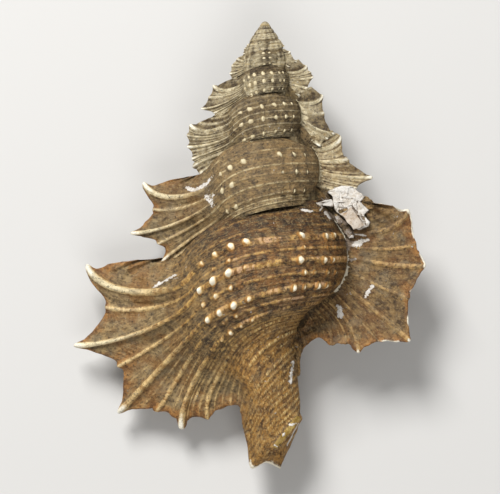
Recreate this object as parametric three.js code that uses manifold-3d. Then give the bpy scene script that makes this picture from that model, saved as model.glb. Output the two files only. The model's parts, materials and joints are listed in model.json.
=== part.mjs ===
// A winged gyrineum shell, lying on the side of its mouth, with its back up.
//
// The shell grew in half turns. Each half turn wraps one side of the spire and ends in a flat wing,
// so the wings stand in one plane, left and right of the spire. Every half turn is one closed sheet
// here: a ribbed back and a flatter front, laid out along the spiral cords. All are joined in one solid.
//
// The tables are in millimetres in the shell's own frame: the apex is the origin, x runs to the right
// and y up the spire as the shell's back is looked at, and z points out of the back.

import * as THREE from "three";
import { mergeVertices } from "three/addons/utils/BufferGeometryUtils.js";
import Module from "manifold-3d";

// Growth: the length of each half turn against the one that grew after it, and how its breadth follows.
const growthPerHalfTurn = 0.787;
const breadthPower = 0.86;
const halfTurns = 12;

// How the shell lies: the whorl's front and the mouth's lip are worn flat where they touch the ground.
const restPitch = 4.6; // degrees that the apex stands up from the ground
const apexPlace = [2.15, 29.916, 10.0]; // where the apex is, from the middle of the shell's base
const wearDepth = 5; // depth of the block that wears the flats, below the ground

// The sheet.
const wingHalfThickness = 0.42;
const rimHalfThickness = 0.26;
const thinnestHalf = 0.16;
const wingFlare = 0.16; // how far a wing bends towards its front, as a share of its length
const webRetreat = 0.1; // how far the web between two spines falls short of them
const rootSpread = 0.6; // the share of a wing's length over which the whorl runs down to it
const rootFall = 2.2; // how soon it runs down there
const cordLead = 0.8; // how far a cord keeps its way on the wing, as a share of the wing's length
const cordHalfWidth = 0.2; // in steps from one cord to the next
const ribRise = 0.6;
const frontRibShare = 0.5; // how high a rib stands on a wing's front, against its back
const cordRise = 0.28;
const bodyBelly = 0.2; // how far a whorl's sheet bulges through to the other side, against its rise
const tuck = 0.8; // how far a wing's first web runs under the older wing above it

// The spiral cords of the last half turn, from the suture down to the canal's end. The columns are:
// start x, y: where the cord comes out of the right-hand wing
// root x, y: where it leaves the whorl
// tip x, y: its end at the left-hand wing's rim
// rise: how high the whorl stands there above the wings' plane
// turn: the degrees that the cord goes round the whorl before its root
// drop: how late it dips on its way
// sag: how far it bows on the wing
// rib, spine: its share of the full rib and of the full spine
const cords = [
  [7.7, -24.0, -11.2, -31.3, -15.2, -32.2, 5.2, 140, 3.4, 0.0, 0.1, 0.0],
  [10.5, -28.8, -10.1, -34.3, -24.1, -32.4, 7.5, 140, 4.5, -0.21, 1.0, 1.0],
  [10.9, -30.3, -9.7, -35.9, -22.2, -38.1, 8.2, 140, 4.5, -0.12, 0.5, 0.4],
  [11.0, -31.9, -9.8, -37.4, -25.8, -43.5, 8.6, 140, 4.5, -0.09, 1.0, 1.0],
  [10.8, -33.5, -9.4, -39.1, -20.4, -46.7, 8.6, 140, 4.0, -0.04, 0.5, 0.5],
  [10.1, -35.1, -8.7, -40.8, -19.9, -52.7, 8.3, 140, 3.0, 0.0, 0.95, 1.0],
  [8.9, -36.5, -7.9, -42.1, -15.1, -53.0, 7.8, 140, 3.0, 0.0, 0.5, 0.5],
  [7.3, -37.7, -6.6, -43.5, -11.2, -55.0, 7.1, 140, 3.0, 0.08, 0.8, 1.0],
  [6.2, -38.5, -5.8, -44.1, -9.6, -54.2, 6.5, 140, 3.0, 0.09, 0.35, 0.1],
  [5.2, -39.4, -4.8, -44.9, -7.5, -54.1, 5.9, 140, 3.0, 0.1, 0.5, 0.4],
  [4.6, -40.4, -3.9, -46.0, -5.5, -52.6, 5.3, 140, 3.0, 0.09, 0.3, 0.0],
  [4.2, -41.4, -2.8, -47.4, -3.6, -51.9, 4.7, 135, 2.5, 0.05, 0.3, 0.0],
  [3.9, -43.5, -1.2, -49.2, -3.1, -54.1, 4.0, 120, 1.8, 0.0, 0.3, 0.0],
  [4.4, -48.2, 0.1, -52.5, -2.4, -56.8, 3.2, 110, 1.5, 0.0, 0.3, 0.0],
  [4.7, -51.5, 0.9, -55.8, -1.9, -59.9, 2.6, 100, 1.3, 0.0, 0.2, 0.0],
  [4.3, -54.6, 2.2, -57.0, 0.1, -59.2, 2.2, 100, 1.2, 0.0, 0.1, 0.0],
  [2.6, -58.3, 2.3, -59.1, 2.0, -60.0, 1.2, 100, 1.0, 0.0, 0.1, 0.0],
].map(([startX, startY, rootX, rootY, tipX, tipY, rise, turn, drop, sag, rib, spine]) => {
  const [start, root, tip] = [[startX, startY], [rootX, rootY], [tipX, tipY]];
  return { start, root, tip, rise, turn, drop, sag, rib, spine };
});
const lastBodyCord = 5.5; // from here down the last whole turn narrows towards its canal
const firstCanalCord = 10;
const allCanalCord = 13;
const canalBelly = 0.75; // how far the canal stands out of the front, against the back

// The rims of the older wings, from the last right-hand one up to the apex, right and left in turn:
// where each cord ends, from the suture's down. The cords that a rim doesn't list end as the last wing's.
const rims = [
  [],
  [
    [14.4, -24.5], [19.2, -25.2], [20.4, -29.7], [21.5, -32.8], [19.5, -37.4], [19.4, -42.9],
    [15.5, -43.2], [12.4, -44.5], [10.8, -43.7], [8.7, -43.7], [7.1, -42.9], [5.6, -43.5],
    [5.2, -45.6], [4.9, -48.4],
  ],
  [
    [-8.7, -20.9], [-16.4, -21.5], [-15.7, -25.0], [-18.2, -28.4], [-14.9, -30.1],
    [-13.9, -32.3], [-14.4, -34.0], [-14.8, -35.8], [-12.8, -36.4], [-10.0, -36.6],
  ],
  [[8.7, -15.5], [10.0, -15.7], [11.4, -18.3], [14.5, -20.9], [12.5, -22.6], [11.7, -23.9]],
  [
    [-7.0, -12.9], [-10.2, -13.6], [-10.8, -15.1], [-10.5, -16.8], [-10.1, -18.6], [-9.8, -19.6],
    [-9.0, -20.7],
  ],
  [[5.9, -9.6], [7.8, -10.5], [8.2, -12.2], [9.4, -15.1], [8.7, -15.9]],
  [[-4.6, -7.8], [-7.0, -8.5], [-7.9, -10.0], [-8.7, -11.7], [-7.1, -12.4], [-6.7, -13.2]],
  [[4.4, -5.9], [5.5, -6.2], [6.3, -6.7], [6.5, -7.5], [5.9, -9.1]],
  [[-3.0, -4.6], [-3.8, -4.8], [-4.7, -5.8], [-4.8, -7.0], [-4.6, -7.8]],
  [[2.7, -3.8], [3.4, -4.0], [3.9, -4.7], [4.3, -5.4]],
];
const rimsBeyond = 2; // an older wing than these repeats the one that stands a whole turn below it

// The beads stand where these cords cross the growth ribs: degrees round the whorl, and their size.
const beadRise = 0.6;
const beadHalfTurn = 3.2; // half of a bead's width along the cord, in degrees
const beadHalfWidth = 0.3; // and across it, in steps from one cord to the next
const beadPower = 0.75; // how a bead's height follows its half turn's breadth
const beadedCords = [1, 3, 5];
const lastTurnBeads = [[31, 0.8], [40, 0.8], [60, 1], [99, 1.1], [109, 1.15], [121, 1], [131, 0.8]];
const olderTurnBeads = [[39, 0.8], [54, 1], [70, 1], [90, 1], [107, 1], [123, 0.9]];
const beadedHalfTurns = 4;
const bodyTurn = 140; // the degrees that the beaded cords go round the whorl

// The spire's middle, which fills the whorls: half its width at each height, from the bottom to the
// apex. Its depth is a share of its width.
const spire = [
  [0, -42], [5.6, -37.5], [7.9, -33], [8.2, -27], [7.3, -24], [6.4, -20], [5.2, -16], [3.9, -12],
  [3.0, -8], [2.75, -5.4], [2.45, -3.6], [1.95, -2.4], [1.35, -1.3], [0.72, -0.55], [0.4, -0.15], [0, 0],
];
const spireDepth = 0.6;
const spireSides = 12;

// The mouth on the front of the last half turn: its lip, from its edge to its foot, and the hollow that
// runs in from it and round under the back. Each ring is x, y, z, half width, half height and the
// degrees that the ring has turned about the spire's axis.
const lipRings = [
  [-4.6, -40.6, -6.85, 3.9, 5.1, 0],
  [-4.6, -40.6, -6.2, 4.2, 5.5, 0],
  [-4.7, -40.6, -3.4, 4.7, 6.4, 0],
  [-4.8, -40.6, -1.2, 6.2, 8.2, 0],
  [-4.8, -40.6, -0.2, 6.2, 8.2, 0],
];
const hollowRings = [
  [-4.6, -40.6, -7.5, 3.5, 4.8, 0],
  [-4.6, -40.6, -5.8, 3.1, 4.3, 0],
  [-4.8, -40.4, -2.5, 3.0, 4.2, 0],
  [-4.8, -39.8, 0.8, 2.9, 4.0, 12],
  [-3.6, -39.0, 3.6, 2.5, 3.6, 50],
  [-1.2, -38.2, 4.9, 2.1, 3.2, 85],
  [1.6, -37.4, 4.8, 1.6, 2.6, 105],
];
const mouthLean = 14; // degrees that the mouth's top leans to the left
const mouthSides = 14;

// The slit along the canal's front, from the mouth to the end: x, y, z, half width and half depth.
const slitRings = [
  [-3.9, -43.0, -3.4, 1.1, 2.4],
  [-2.6, -47.0, -2.6, 0.7, 1.8],
  [-1.0, -51.0, -2.4, 0.6, 1.5],
  [0.1, -56.0, -2.2, 0.6, 1.3],
  [0.4, -60.5, -1.6, 0.6, 1.2],
];
const slitSides = 8;

// The white crust on the corner where the last right-hand wing meets the whorls: flat flakes, each with its
// outline, its middle, and the height of its top there and its rise per millimetre to the right and up.
const crustFlakes = [
  {
    outline: [
      [8.4, -22.9], [9.1, -22.5], [10.1, -22.1], [11.1, -22.1], [11.9, -22.3], [12.7, -23.0], [13.3, -23.5],
      [12.9, -24.0], [12.6, -24.3], [13.2, -24.8], [14.0, -25.2], [13.2, -25.9], [14.1, -27.0], [13.8, -27.5],
      [13.3, -27.7], [12.4, -27.9], [11.4, -27.2], [10.3, -26.1], [9.5, -25.7], [9.2, -24.6], [9.1, -23.6],
    ],
    centre: [11.0, -24.5],
    top: [1.95, -0.06, 0.03],
  },
  {
    outline: [
      [6.3, -24.8], [7.9, -24.1], [8.9, -24.0], [9.6, -24.3], [9.6, -24.9], [8.9, -24.9], [7.9, -24.8],
    ],
    centre: [8.6, -24.5],
    top: [2.25, -0.35, 0],
  },
  {
    outline: [
      [9.1, -25.55], [9.87, -26.03], [10.7, -27.07], [11.5, -28.07], [11.7, -29.15], [11.15, -29.2],
      [10.4, -28.0], [9.7, -27.1],
    ],
    centre: [10.4, -27.3],
    top: [1.8, -0.25, 0],
  },
  {
    outline: [
      [12.6, -23.3], [13.3, -23.4], [13.8, -23.6], [14.35, -24.0], [14.6, -24.5], [14.4, -25.1],
      [13.2, -25.1], [12.7, -24.4],
    ],
    centre: [13.5, -24.3],
    top: [1.7, 0, 0],
  },
];
// Their rings: the share of the outline and the height against the top.
const crustLevels = [[0.02, 0], [0.9, 0], [1, -0.15], [1, -1.35], [0.02, -1.35]];

// The crust's loose plate: its corners, and half its thickness.
const crustPlate = [[10.15, -26.0, 2.35], [11.85, -28.0, 2.45], [13.3, -27.3, 2.0], [11.5, -25.0, 2.15]];
const plateHalfThickness = 0.18;

const wasm = await Module();
wasm.setup();

// A value at place s between the listed ones, on a smooth curve through them.
function smoothAt(values, s) {
  const last = values.length - 1;
  const i = Math.min(Math.max(Math.floor(s), 0), last - 1);
  const f = s - i;
  const [a, b, c, d] = [i - 1, i, i + 1, i + 2].map((k) => values[Math.min(Math.max(k, 0), last)]);
  return b + 0.5 * f * (c - a + f * (2 * a - 5 * b + 4 * c - d + f * (3 * (b - c) + d - a)));
}

function smoothStep(low, high, value) {
  const f = Math.min(Math.max((value - low) / (high - low), 0), 1);
  return f * f * (3 - 2 * f);
}

// The size and breadth of half turn n, counted back from the last one, which is n = 0.
const sizeOf = (n) => growthPerHalfTurn ** n;
const breadthOf = (n) => sizeOf(n) ** breadthPower;

// Where each cord of half turn n ends, as seen with its wing on the left.
function tipsOf(n) {
  const listed = n < rims.length ? n : rims.length - rimsBeyond + ((n - rims.length) % rimsBeyond);
  const shrink = sizeOf(n - listed);
  return cords.map((cord, i) => {
    const rim = rims[listed][i];
    if (!rim) return cord.tip.map((v) => v * sizeOf(n));
    return [-Math.abs(rim[0]) * shrink, rim[1] * shrink];
  });
}

// The cord at place s of half turn n, with every measure in real size.
function cordAt(n, tips, s) {
  const of = (pick, place = s) => smoothAt(cords.map(pick), place);
  const girth = n < 2 ? s : Math.min(s, lastBodyCord);
  const size = sizeOf(n);
  const breadth = breadthOf(n);
  return {
    start: [of((c) => c.start[0], girth) * breadth, of((c) => c.start[1]) * size],
    root: [of((c) => c.root[0], girth) * breadth, of((c) => c.root[1]) * size],
    tip: [smoothAt(tips.map((p) => p[0]), s), smoothAt(tips.map((p) => p[1]), s)],
    rise: of((c) => c.rise, girth) * breadth,
    turn: THREE.MathUtils.degToRad(of((c) => c.turn)),
    drop: of((c) => c.drop),
    sag: of((c) => c.sag),
    canal: smoothStep(firstCanalCord, allCanalCord, s),
  };
}

// The place in the wings' plane at t along a cord: 0 at its start, 1 at its root, 2 at its tip.
function placeOnCord(cord, t) {
  const across = cord.root[0] - cord.start[0];
  const down = cord.root[1] - cord.start[1];
  const arc = 1 - Math.cos(cord.turn);
  if (t <= 1) {
    return [
      cord.start[0] + (across * (1 - Math.cos(cord.turn * t))) / arc,
      cord.start[1] + down * t ** cord.drop,
    ];
  }
  const chord = [cord.tip[0] - cord.root[0], cord.tip[1] - cord.root[1]];
  const length = Math.hypot(...chord);
  const leaving = [(across * cord.turn * Math.sin(cord.turn)) / arc, down * cord.drop];
  const lead = (cordLead * length) / Math.hypot(...leaving);
  const v = t - 1;
  return [0, 1].map((axis) => {
    const bow = cord.sag * (axis === 0 ? chord[1] : -chord[0]);
    const first = leaving[axis] * lead;
    const last = first - 8 * bow;
    return (
      cord.root[axis] +
      chord[axis] * v * v * (3 - 2 * v) +
      first * v * (1 - v) * (1 - v) +
      last * v * v * (v - 1)
    );
  });
}

// How high the whorl stands above the wings' plane there, before any ornament.
function riseOnCord(cord, t) {
  const tube = cord.rise * Math.sin((Math.PI * t) / 2);
  if (t <= 1) return THREE.MathUtils.lerp(cord.rise * Math.sin(cord.turn * t), tube, cord.canal);
  const rootRise = cord.rise * Math.sin(cord.turn);
  const fall = 1 - Math.min((t - 1) / rootSpread, 1);
  return THREE.MathUtils.lerp(rootRise * fall ** rootFall, tube, cord.canal);
}

// How far a wing has bent towards its front there.
function flareOnCord(cord, t) {
  const length = Math.hypot(cord.tip[0] - cord.root[0], cord.tip[1] - cord.root[1]);
  const v = Math.max(t - 1, 0);
  return wingFlare * length * v * v * (1 - cord.canal);
}

// The share of the nearest cord's ridge at place s.
function ridgeShare(s, pick) {
  const nearest = Math.round(s);
  const away = (s - nearest) / cordHalfWidth;
  return pick(cords[nearest]) * Math.exp(-away * away);
}

const beadsOf = (n) => (n === 0 ? lastTurnBeads : olderTurnBeads);

// How high the beads of half turn n stand at place s and t, before its breadth is counted.
function beadsAt(n, s, t) {
  if (n >= beadedHalfTurns) return 0;
  const row = beadedCords.reduce((best, cord) => (Math.abs(s - cord) < Math.abs(s - best) ? cord : best));
  const across = (s - row) / beadHalfWidth;
  const swells = beadsOf(n).map(([degrees, share]) => {
    const along = (t * bodyTurn - degrees) / beadHalfTurn;
    return share * Math.exp(-along * along - across * across);
  });
  return beadRise * Math.max(...swells);
}

// Half turn n as a closed mesh, with its wing on the left. places and steps say where the sheet's
// lines lie, across the cords and along them.
function halfTurnGeometry(n, places, steps) {
  const breadth = breadthOf(n);
  const tips = tipsOf(n);
  const back = [];
  const front = [];
  for (const s of places) {
    const cord = cordAt(n, tips, s);
    const spike = ridgeShare(s, (c) => c.spine);
    const rib = ridgeShare(s, (c) => c.rib) * breadth;
    const reach = 1 - webRetreat * (1 - spike) * (1 - cord.canal);
    for (const step of steps) {
      const t = step <= 1 ? step : 1 + (step - 1) * reach;
      const [x, y] = placeOnCord(cord, t);
      const onWing = smoothStep(1, 1.5, t);
      const thickness = THREE.MathUtils.lerp(wingHalfThickness, rimHalfThickness, smoothStep(1, 2, step));
      const half = Math.max(thickness * Math.sqrt(breadth), thinnestHalf);
      const bead = beadsAt(n, s, t) * breadth ** beadPower;
      const ridge = rib * THREE.MathUtils.lerp(cordRise, ribRise, onWing) * smoothStep(0, 0.15, t) + bead;
      const tucked = tuck * breadth * (1 - smoothStep(0.3, 1.2, s)) * smoothStep(0.8, 1.1, t);
      const dip = flareOnCord(cord, t) + tucked;
      const whorl = riseOnCord(cord, t);
      const swell = bodyBelly * smoothStep(0, 0.5, t) * (1 - smoothStep(0.8, 1.15, t));
      const belly = THREE.MathUtils.lerp(swell, canalBelly, cord.canal);
      back.push(x, y, half + whorl + ridge - dip);
      front.push(x, y, -half - belly * whorl - rib * ribRise * frontRibShare * onWing - dip);
    }
  }
  const [rows, columns] = [places.length, steps.length];
  const count = rows * columns;
  const end = columns - 1;
  const index = [];
  const quad = (a, b, c, d) => index.push(a, b, c, a, c, d);
  const at = (i, j) => i * columns + j;
  for (let i = 0; i + 1 < rows; i++) {
    for (let j = 0; j + 1 < columns; j++) {
      quad(at(i, j), at(i, j + 1), at(i + 1, j + 1), at(i + 1, j));
      quad(count + at(i, j), count + at(i + 1, j), count + at(i + 1, j + 1), count + at(i, j + 1));
    }
    quad(at(i, 0), at(i + 1, 0), count + at(i + 1, 0), count + at(i, 0));
    quad(at(i + 1, end), at(i, end), count + at(i, end), count + at(i + 1, end));
  }
  for (let j = 0; j + 1 < columns; j++) {
    quad(at(0, j + 1), at(0, j), count + at(0, j), count + at(0, j + 1));
    quad(at(rows - 1, j), at(rows - 1, j + 1), count + at(rows - 1, j + 1), count + at(rows - 1, j));
  }
  const geometry = new THREE.BufferGeometry();
  geometry.setAttribute("position", new THREE.Float32BufferAttribute([...back, ...front], 3));
  geometry.setIndex(index);
  return geometry;
}

// Half turns alternate between the back and the mouth's side of the shell.
function turnToItsSide(geometry, n) {
  return n % 2 ? geometry.rotateY(Math.PI) : geometry;
}

function solidFrom(geometry) {
  const bare = new THREE.BufferGeometry();
  bare.setAttribute("position", geometry.getAttribute("position"));
  if (geometry.index) bare.setIndex(geometry.index);
  const merged = mergeVertices(bare, 1e-4);
  return new wasm.Manifold(
    new wasm.Mesh({
      numProp: 3,
      vertProperties: new Float32Array(merged.attributes.position.array),
      triVerts: new Uint32Array(merged.index.array),
    }),
  );
}

// The lines across the cords: one on each cord, one in each valley, and on the large half turns two on
// each full rib's flanks.
function placesFor(n) {
  if (n >= 6) return [0, 1, 2, 3, 4, 5, 6, 8];
  const lastCord = [16, 13, 9, 9, 8, 8][n];
  const flanks = [[1, 3, 5, 7], [1, 3, 5], [1, 3, 5]][n] ?? [];
  const valleysTo = [10, 8, 8, 7, 5, 5][n];
  const places = [];
  for (let i = 0; i <= lastCord; i++) {
    if (flanks.includes(i)) places.push(i - cordHalfWidth);
    places.push(i);
    if (flanks.includes(i)) places.push(i + cordHalfWidth);
    if (i < valleysTo) places.push(i + 0.5);
  }
  return places;
}

// The lines along the cords: where there are beads, one on each bead and one between it and the next.
function stepsFor(n) {
  if (n >= 6) return [0, 0.45, 1, 1.4, 2];
  if (n >= 4) return [0, 0.2, 0.6, 1, 1.4, 2];
  if (n >= beadedHalfTurns) return [0, 0.12, 0.35, 0.6, 0.85, 1, 1.2, 1.5, 2];
  const beads = beadsOf(n).map(([degrees]) => degrees / bodyTurn);
  const between = beads.slice(1).map((t, k) => (t + beads[k]) / 2);
  const wing = n < 2 ? [1.17, 1.38, 1.65, 2] : [1.22, 1.55, 2];
  return [0, 0.1, ...beads, ...between, 1, ...wing].sort((a, b) => a - b);
}

function halfTurnSolid(n) {
  return solidFrom(turnToItsSide(halfTurnGeometry(n, placesFor(n), stepsFor(n)), n));
}

function spireSolid() {
  const profile = spire.map(([x, y]) => new THREE.Vector2(x, y));
  return solidFrom(new THREE.LatheGeometry(profile, spireSides).scale(1, 1, spireDepth));
}

// A closed solid through rings that have the same number of points.
function loftSolid(rings) {
  const sides = rings[0].length;
  const last = (rings.length - 1) * sides;
  const index = [];
  for (let k = 0; k < sides; k++) {
    const next = (k + 1) % sides;
    for (let ring = 0; ring < last; ring += sides) {
      index.push(ring + k, ring + next, ring + sides + next, ring + k, ring + sides + next, ring + sides + k);
    }
    if (k > 0 && k < sides - 1) index.push(0, k + 1, k, last, last + k, last + k + 1);
  }
  const geometry = new THREE.BufferGeometry();
  geometry.setAttribute("position", new THREE.Float32BufferAttribute(rings.flat(2), 3));
  geometry.setIndex(index);
  return solidFrom(geometry);
}

// The angles of an oval's points.
const anglesOf = (sides) => Array.from({ length: sides }, (_, k) => (2 * Math.PI * k) / sides);

// One oval ring of the mouth, leaning as the mouth does and level with the ground.
function mouthRing([x, y, z, halfWidth, halfHeight, turned]) {
  const lean = THREE.MathUtils.degToRad(mouthLean);
  const turn = THREE.MathUtils.degToRad(turned);
  return anglesOf(mouthSides).map((angle) => {
    const point = new THREE.Vector3(halfWidth * Math.cos(angle), halfHeight * Math.sin(angle), 0);
    point.applyAxisAngle(new THREE.Vector3(0, 0, 1), lean);
    point.applyAxisAngle(new THREE.Vector3(0, 1, 0), turn);
    return [x + point.x, y + point.y, z + point.z - point.y * Math.tan(THREE.MathUtils.degToRad(restPitch))];
  });
}

function slitRing([x, y, z, halfWidth, halfDepth]) {
  return anglesOf(slitSides).map((angle) => {
    return [x + halfWidth * Math.cos(angle), y, z + halfDepth * Math.sin(angle)];
  });
}

function crustFlake({ outline, centre, top }) {
  const [height, right, up] = top;
  const rings = crustLevels.map(([share, below]) => {
    return outline.map(([x, y]) => {
      const [acrossBy, upBy] = [(x - centre[0]) * share, (y - centre[1]) * share];
      return [centre[0] + acrossBy, centre[1] + upBy, height + right * acrossBy + up * upBy + below];
    });
  });
  return loftSolid(rings);
}

function plateSolid() {
  const level = (by) => crustPlate.map(([x, y, z]) => [x, y, z + by]);
  return loftSolid([level(-plateHalfThickness), level(plateHalfThickness)]);
}

const lip = loftSolid(lipRings.map(mouthRing));
const parts = [spireSolid(), lip, ...crustFlakes.map(crustFlake), plateSolid()];
for (let n = 0; n < halfTurns; n++) parts.push(halfTurnSolid(n));
const joined = wasm.Manifold.union(parts)
  .subtract(loftSolid(hollowRings.map(mouthRing)))
  .subtract(loftSolid(slitRings.map(slitRing)));

// The ground under the shell, as a block in the shell's own frame.
const rest = new THREE.Matrix4()
  .makeTranslation(...apexPlace)
  .multiply(new THREE.Matrix4().makeRotationX(THREE.MathUtils.degToRad(restPitch)));
const ground = new THREE.BoxGeometry(80, 80, wearDepth).translate(0, 0, -wearDepth / 2);
const worn = joined.subtract(solidFrom(ground.applyMatrix4(rest.clone().invert())));

// The pockets left between the whorls are surfaces of their own: without them the whorls are filled.
const [filled] = worn.decompose().sort((a, b) => b.volume() - a.volume());

const finished = filled.getMesh();
const geometry = new THREE.BufferGeometry();
geometry.setAttribute("position", new THREE.BufferAttribute(finished.vertProperties, 3));
geometry.setIndex(new THREE.BufferAttribute(finished.triVerts, 1));
geometry.computeVertexNormals();

const shellMaterial = new THREE.MeshStandardMaterial({ color: 0x8a6a45, roughness: 0.75, metalness: 0 });
const shell = new THREE.Mesh(geometry, shellMaterial);
shell.name = "shell";
shell.applyMatrix4(rest);

const group = new THREE.Group();
group.add(shell);
export default group;
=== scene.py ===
"""The looks of a winged gyrineum shell that lies on its mouth's side, with its back up.

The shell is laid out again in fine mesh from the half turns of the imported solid, in the same place: each
half turn wraps one side of the spire and ends in a flat wing. All lengths in the tables are millimetres in
the shell's own frame: the apex is the origin, x runs to the right and y up the spire as the shell's back is
looked at, and z points out of the back.
"""

import itertools
import json
import math

import bmesh
import bpy
import numpy as np
from mathutils import Matrix, Vector
from mathutils.bvhtree import BVHTree
from mathutils.kdtree import KDTree

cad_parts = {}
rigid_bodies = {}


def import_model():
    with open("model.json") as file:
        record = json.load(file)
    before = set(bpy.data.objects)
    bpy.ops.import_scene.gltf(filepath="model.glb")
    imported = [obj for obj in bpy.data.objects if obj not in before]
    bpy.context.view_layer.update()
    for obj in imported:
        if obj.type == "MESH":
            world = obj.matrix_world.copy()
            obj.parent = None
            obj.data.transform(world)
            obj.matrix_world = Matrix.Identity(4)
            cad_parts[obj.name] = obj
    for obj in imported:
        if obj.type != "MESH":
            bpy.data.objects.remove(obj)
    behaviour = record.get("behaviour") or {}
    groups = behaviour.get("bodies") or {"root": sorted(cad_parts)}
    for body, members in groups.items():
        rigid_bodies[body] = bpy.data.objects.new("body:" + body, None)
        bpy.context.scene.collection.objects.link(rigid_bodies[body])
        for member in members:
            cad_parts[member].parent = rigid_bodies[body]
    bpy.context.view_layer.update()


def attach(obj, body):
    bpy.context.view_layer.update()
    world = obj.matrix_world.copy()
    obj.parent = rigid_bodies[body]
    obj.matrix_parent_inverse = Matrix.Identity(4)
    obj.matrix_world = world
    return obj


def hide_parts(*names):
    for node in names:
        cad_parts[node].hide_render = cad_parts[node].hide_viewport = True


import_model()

MM = 0.001

# Growth: the length of each half turn against the one that grew after it, and how its breadth follows.
GROWTH = 0.787
BREADTH_POWER = 0.86
HALF_TURNS = 12

# How the shell lies: the degrees that the apex stands up from the ground, and where the apex is.
REST_PITCH = 4.6
APEX_PLACE = (2.15, 29.916, 10)

# The whorls whose suture bends down to the first cord near its start, how far and over what length.
DOMED = (2, 4, 6)
DOME_BEND = 0.85
DOME_LENGTH = 0.35

# How much lower the back's older cords lie than growth alone puts them: the most, at each cord, and the
# share of it that each half turn back adds, up to the fourth.
LOWERED = (0, 0.56, 1.12, 1.68, 2.24, 2.8, 2.24, 1.68, 1.12, 0.56, 0)

# The sheet: half thicknesses, the wings' bend and worn rims, its waves, how the whorl runs down to a wing,
# and the cords between which the whorl turns into the canal.
WING_HALF = 0.4
RIM_HALF = 0.24
THINNEST_HALF = 0.15
WING_FLARE = 0.16
WEB_RETREAT = 0.1
FULL_WEB_RETREAT = 0.035  # of the last right-hand wing
RIM_WEAR = 0.32
SWAY = 0.1
RIPPLES = 22  # how many from root to tip
RIPPLE_RISE = 0.035
PLEATS = 5.5  # of the wings' upper edge
PLEAT_RISE = 0.28
ROOT_SPREAD = 0.6
CORD_LEAD = 0.8
BODY_BELLY = 0.2
CANAL_BELLY = 0.75
TUCK = 0.8
FRONT_RIB_SHARE = 0.5
LAST_BODY_CORD = 5.5
CANAL_CORDS = (10, 13)
BODY_TURN = 140

# The ornament: heights, and half widths of the cords on the whorl and the ribs on the wing.
RIB_RISE = 0.6
CORD_RISE = 0.28
RIB_HALF_WIDTH = 0.6
CORD_HALF_WIDTH = 0.38
THREAD_HALF_WIDTH = 0.17
SPINE_HALF_WIDTH = 0.72
BEAD_RISE = 0.56
BEAD_HALF = (0.55, 0.74)  # along the cord, and across it
BEAD_POWER = 0.5
BEAD_JITTER = 0.06
SMALL_BEADS = (8, 0.6)  # from this half turn on, and their share
NO_BEADS_FROM = 10
GROWTH_RIB_RISE = 0.14
GROWTH_RIB_HALF = 0.4
SUTURE_DEPTH = 1.0
OLD_SUTURE_SHARE = 0.45
SUTURE_LINES = 2.3  # how many times more fine lines the first gap between the cords has
TIP_LENGTHS = {0: 2.6, 1: 0.8}

# The spiral cords of the last half turn, from the suture down to the canal's end: start x, y, root x, y,
# tip x, y, rise, degrees round the whorl, how late it dips, bow on the wing, share of rib and of spine.
CORDS = np.array([
    [7.7, -24, -11.2, -31.3, -15.2, -32.2, 5.2, 140, 3.4, 0, 0.1, 0],
    [10.5, -28.8, -10.1, -34.3, -24.1, -32.4, 7.5, 140, 4.5, -0.21, 1, 1],
    [10.9, -30.3, -9.7, -35.9, -22.2, -38.1, 8.2, 140, 4.5, -0.12, 0.5, 0.4],
    [11, -31.9, -9.8, -37.4, -25.8, -43.5, 8.6, 140, 4.5, -0.09, 1, 1],
    [10.8, -33.5, -9.4, -39.1, -20.4, -46.7, 8.6, 140, 4, -0.04, 0.5, 0.5],
    [10.1, -35.1, -8.7, -40.8, -19.9, -52.7, 8.3, 140, 3, 0, 0.95, 1],
    [8.9, -36.5, -7.9, -42.1, -15.1, -53, 7.8, 140, 3, 0, 0.5, 0.5],
    [7.3, -37.7, -6.6, -43.5, -11.2, -55, 7.1, 140, 3, 0.08, 0.8, 1],
    [6.2, -38.5, -5.8, -44.1, -9.6, -54.2, 6.5, 140, 3, 0.09, 0.35, 0.1],
    [5.2, -39.4, -4.8, -44.9, -7.5, -54.1, 5.9, 140, 3, 0.1, 0.5, 0.4],
    [4.6, -40.4, -3.9, -46, -5.5, -52.6, 5.3, 140, 3, 0.09, 0.3, 0],
    [4.2, -41.4, -2.8, -47.4, -3.6, -51.9, 4.7, 135, 2.5, 0.05, 0.3, 0],
    [3.9, -43.5, -1.2, -49.2, -3.1, -54.1, 4, 120, 1.8, 0, 0.3, 0],
    [4.4, -48.2, 0.1, -52.5, -2.4, -56.8, 3.2, 110, 1.5, 0, 0.3, 0],
    [4.7, -51.5, 0.9, -55.8, -1.9, -59.9, 2.6, 100, 1.3, 0, 0.2, 0],
    [4.3, -54.6, 2.2, -57, 0.1, -59.2, 2.2, 100, 1.2, 0, 0.1, 0],
    [2.6, -58.3, 2.3, -59.1, 2, -60, 1.2, 100, 1, 0, 0.1, 0],
])
START_X, START_Y, ROOT_X, ROOT_Y, TIP_X, TIP_Y, RISE, TURN, DROP, SAG, RIB, SPINE = CORDS.T

# The threads between each cord and the next: how many, and their share of a full cord.
THREADS = [
    (2, 0.34), (1, 0.16), (1, 0.16), (1, 0.16), (1, 0.2), (1, 0.28), (1, 0.3), (1, 0.34),
    (1, 0.34), (1, 0.34), (1, 0.36), (1, 0.42), (4, 0.44), (3, 0.44), (2, 0.4), (1, 0.3),
]
CANAL_CORD_SHARE = 0.5

# The older wings, from this half turn on, are closely ribbed all over. The last right-hand one is less so.
OLD_WINGS_FROM = 3
OLD_RIB_SHARE = 0.9
OLD_THREAD_SHARE = 0.5
RIGHT_THREAD_SHARE = 0.3
RIGHT_RIB_WIDTH = 0.6
OLD_THREADS = 2
LATTICE_FROM = 6
LATTICE_SHARE = 0.45

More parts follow.
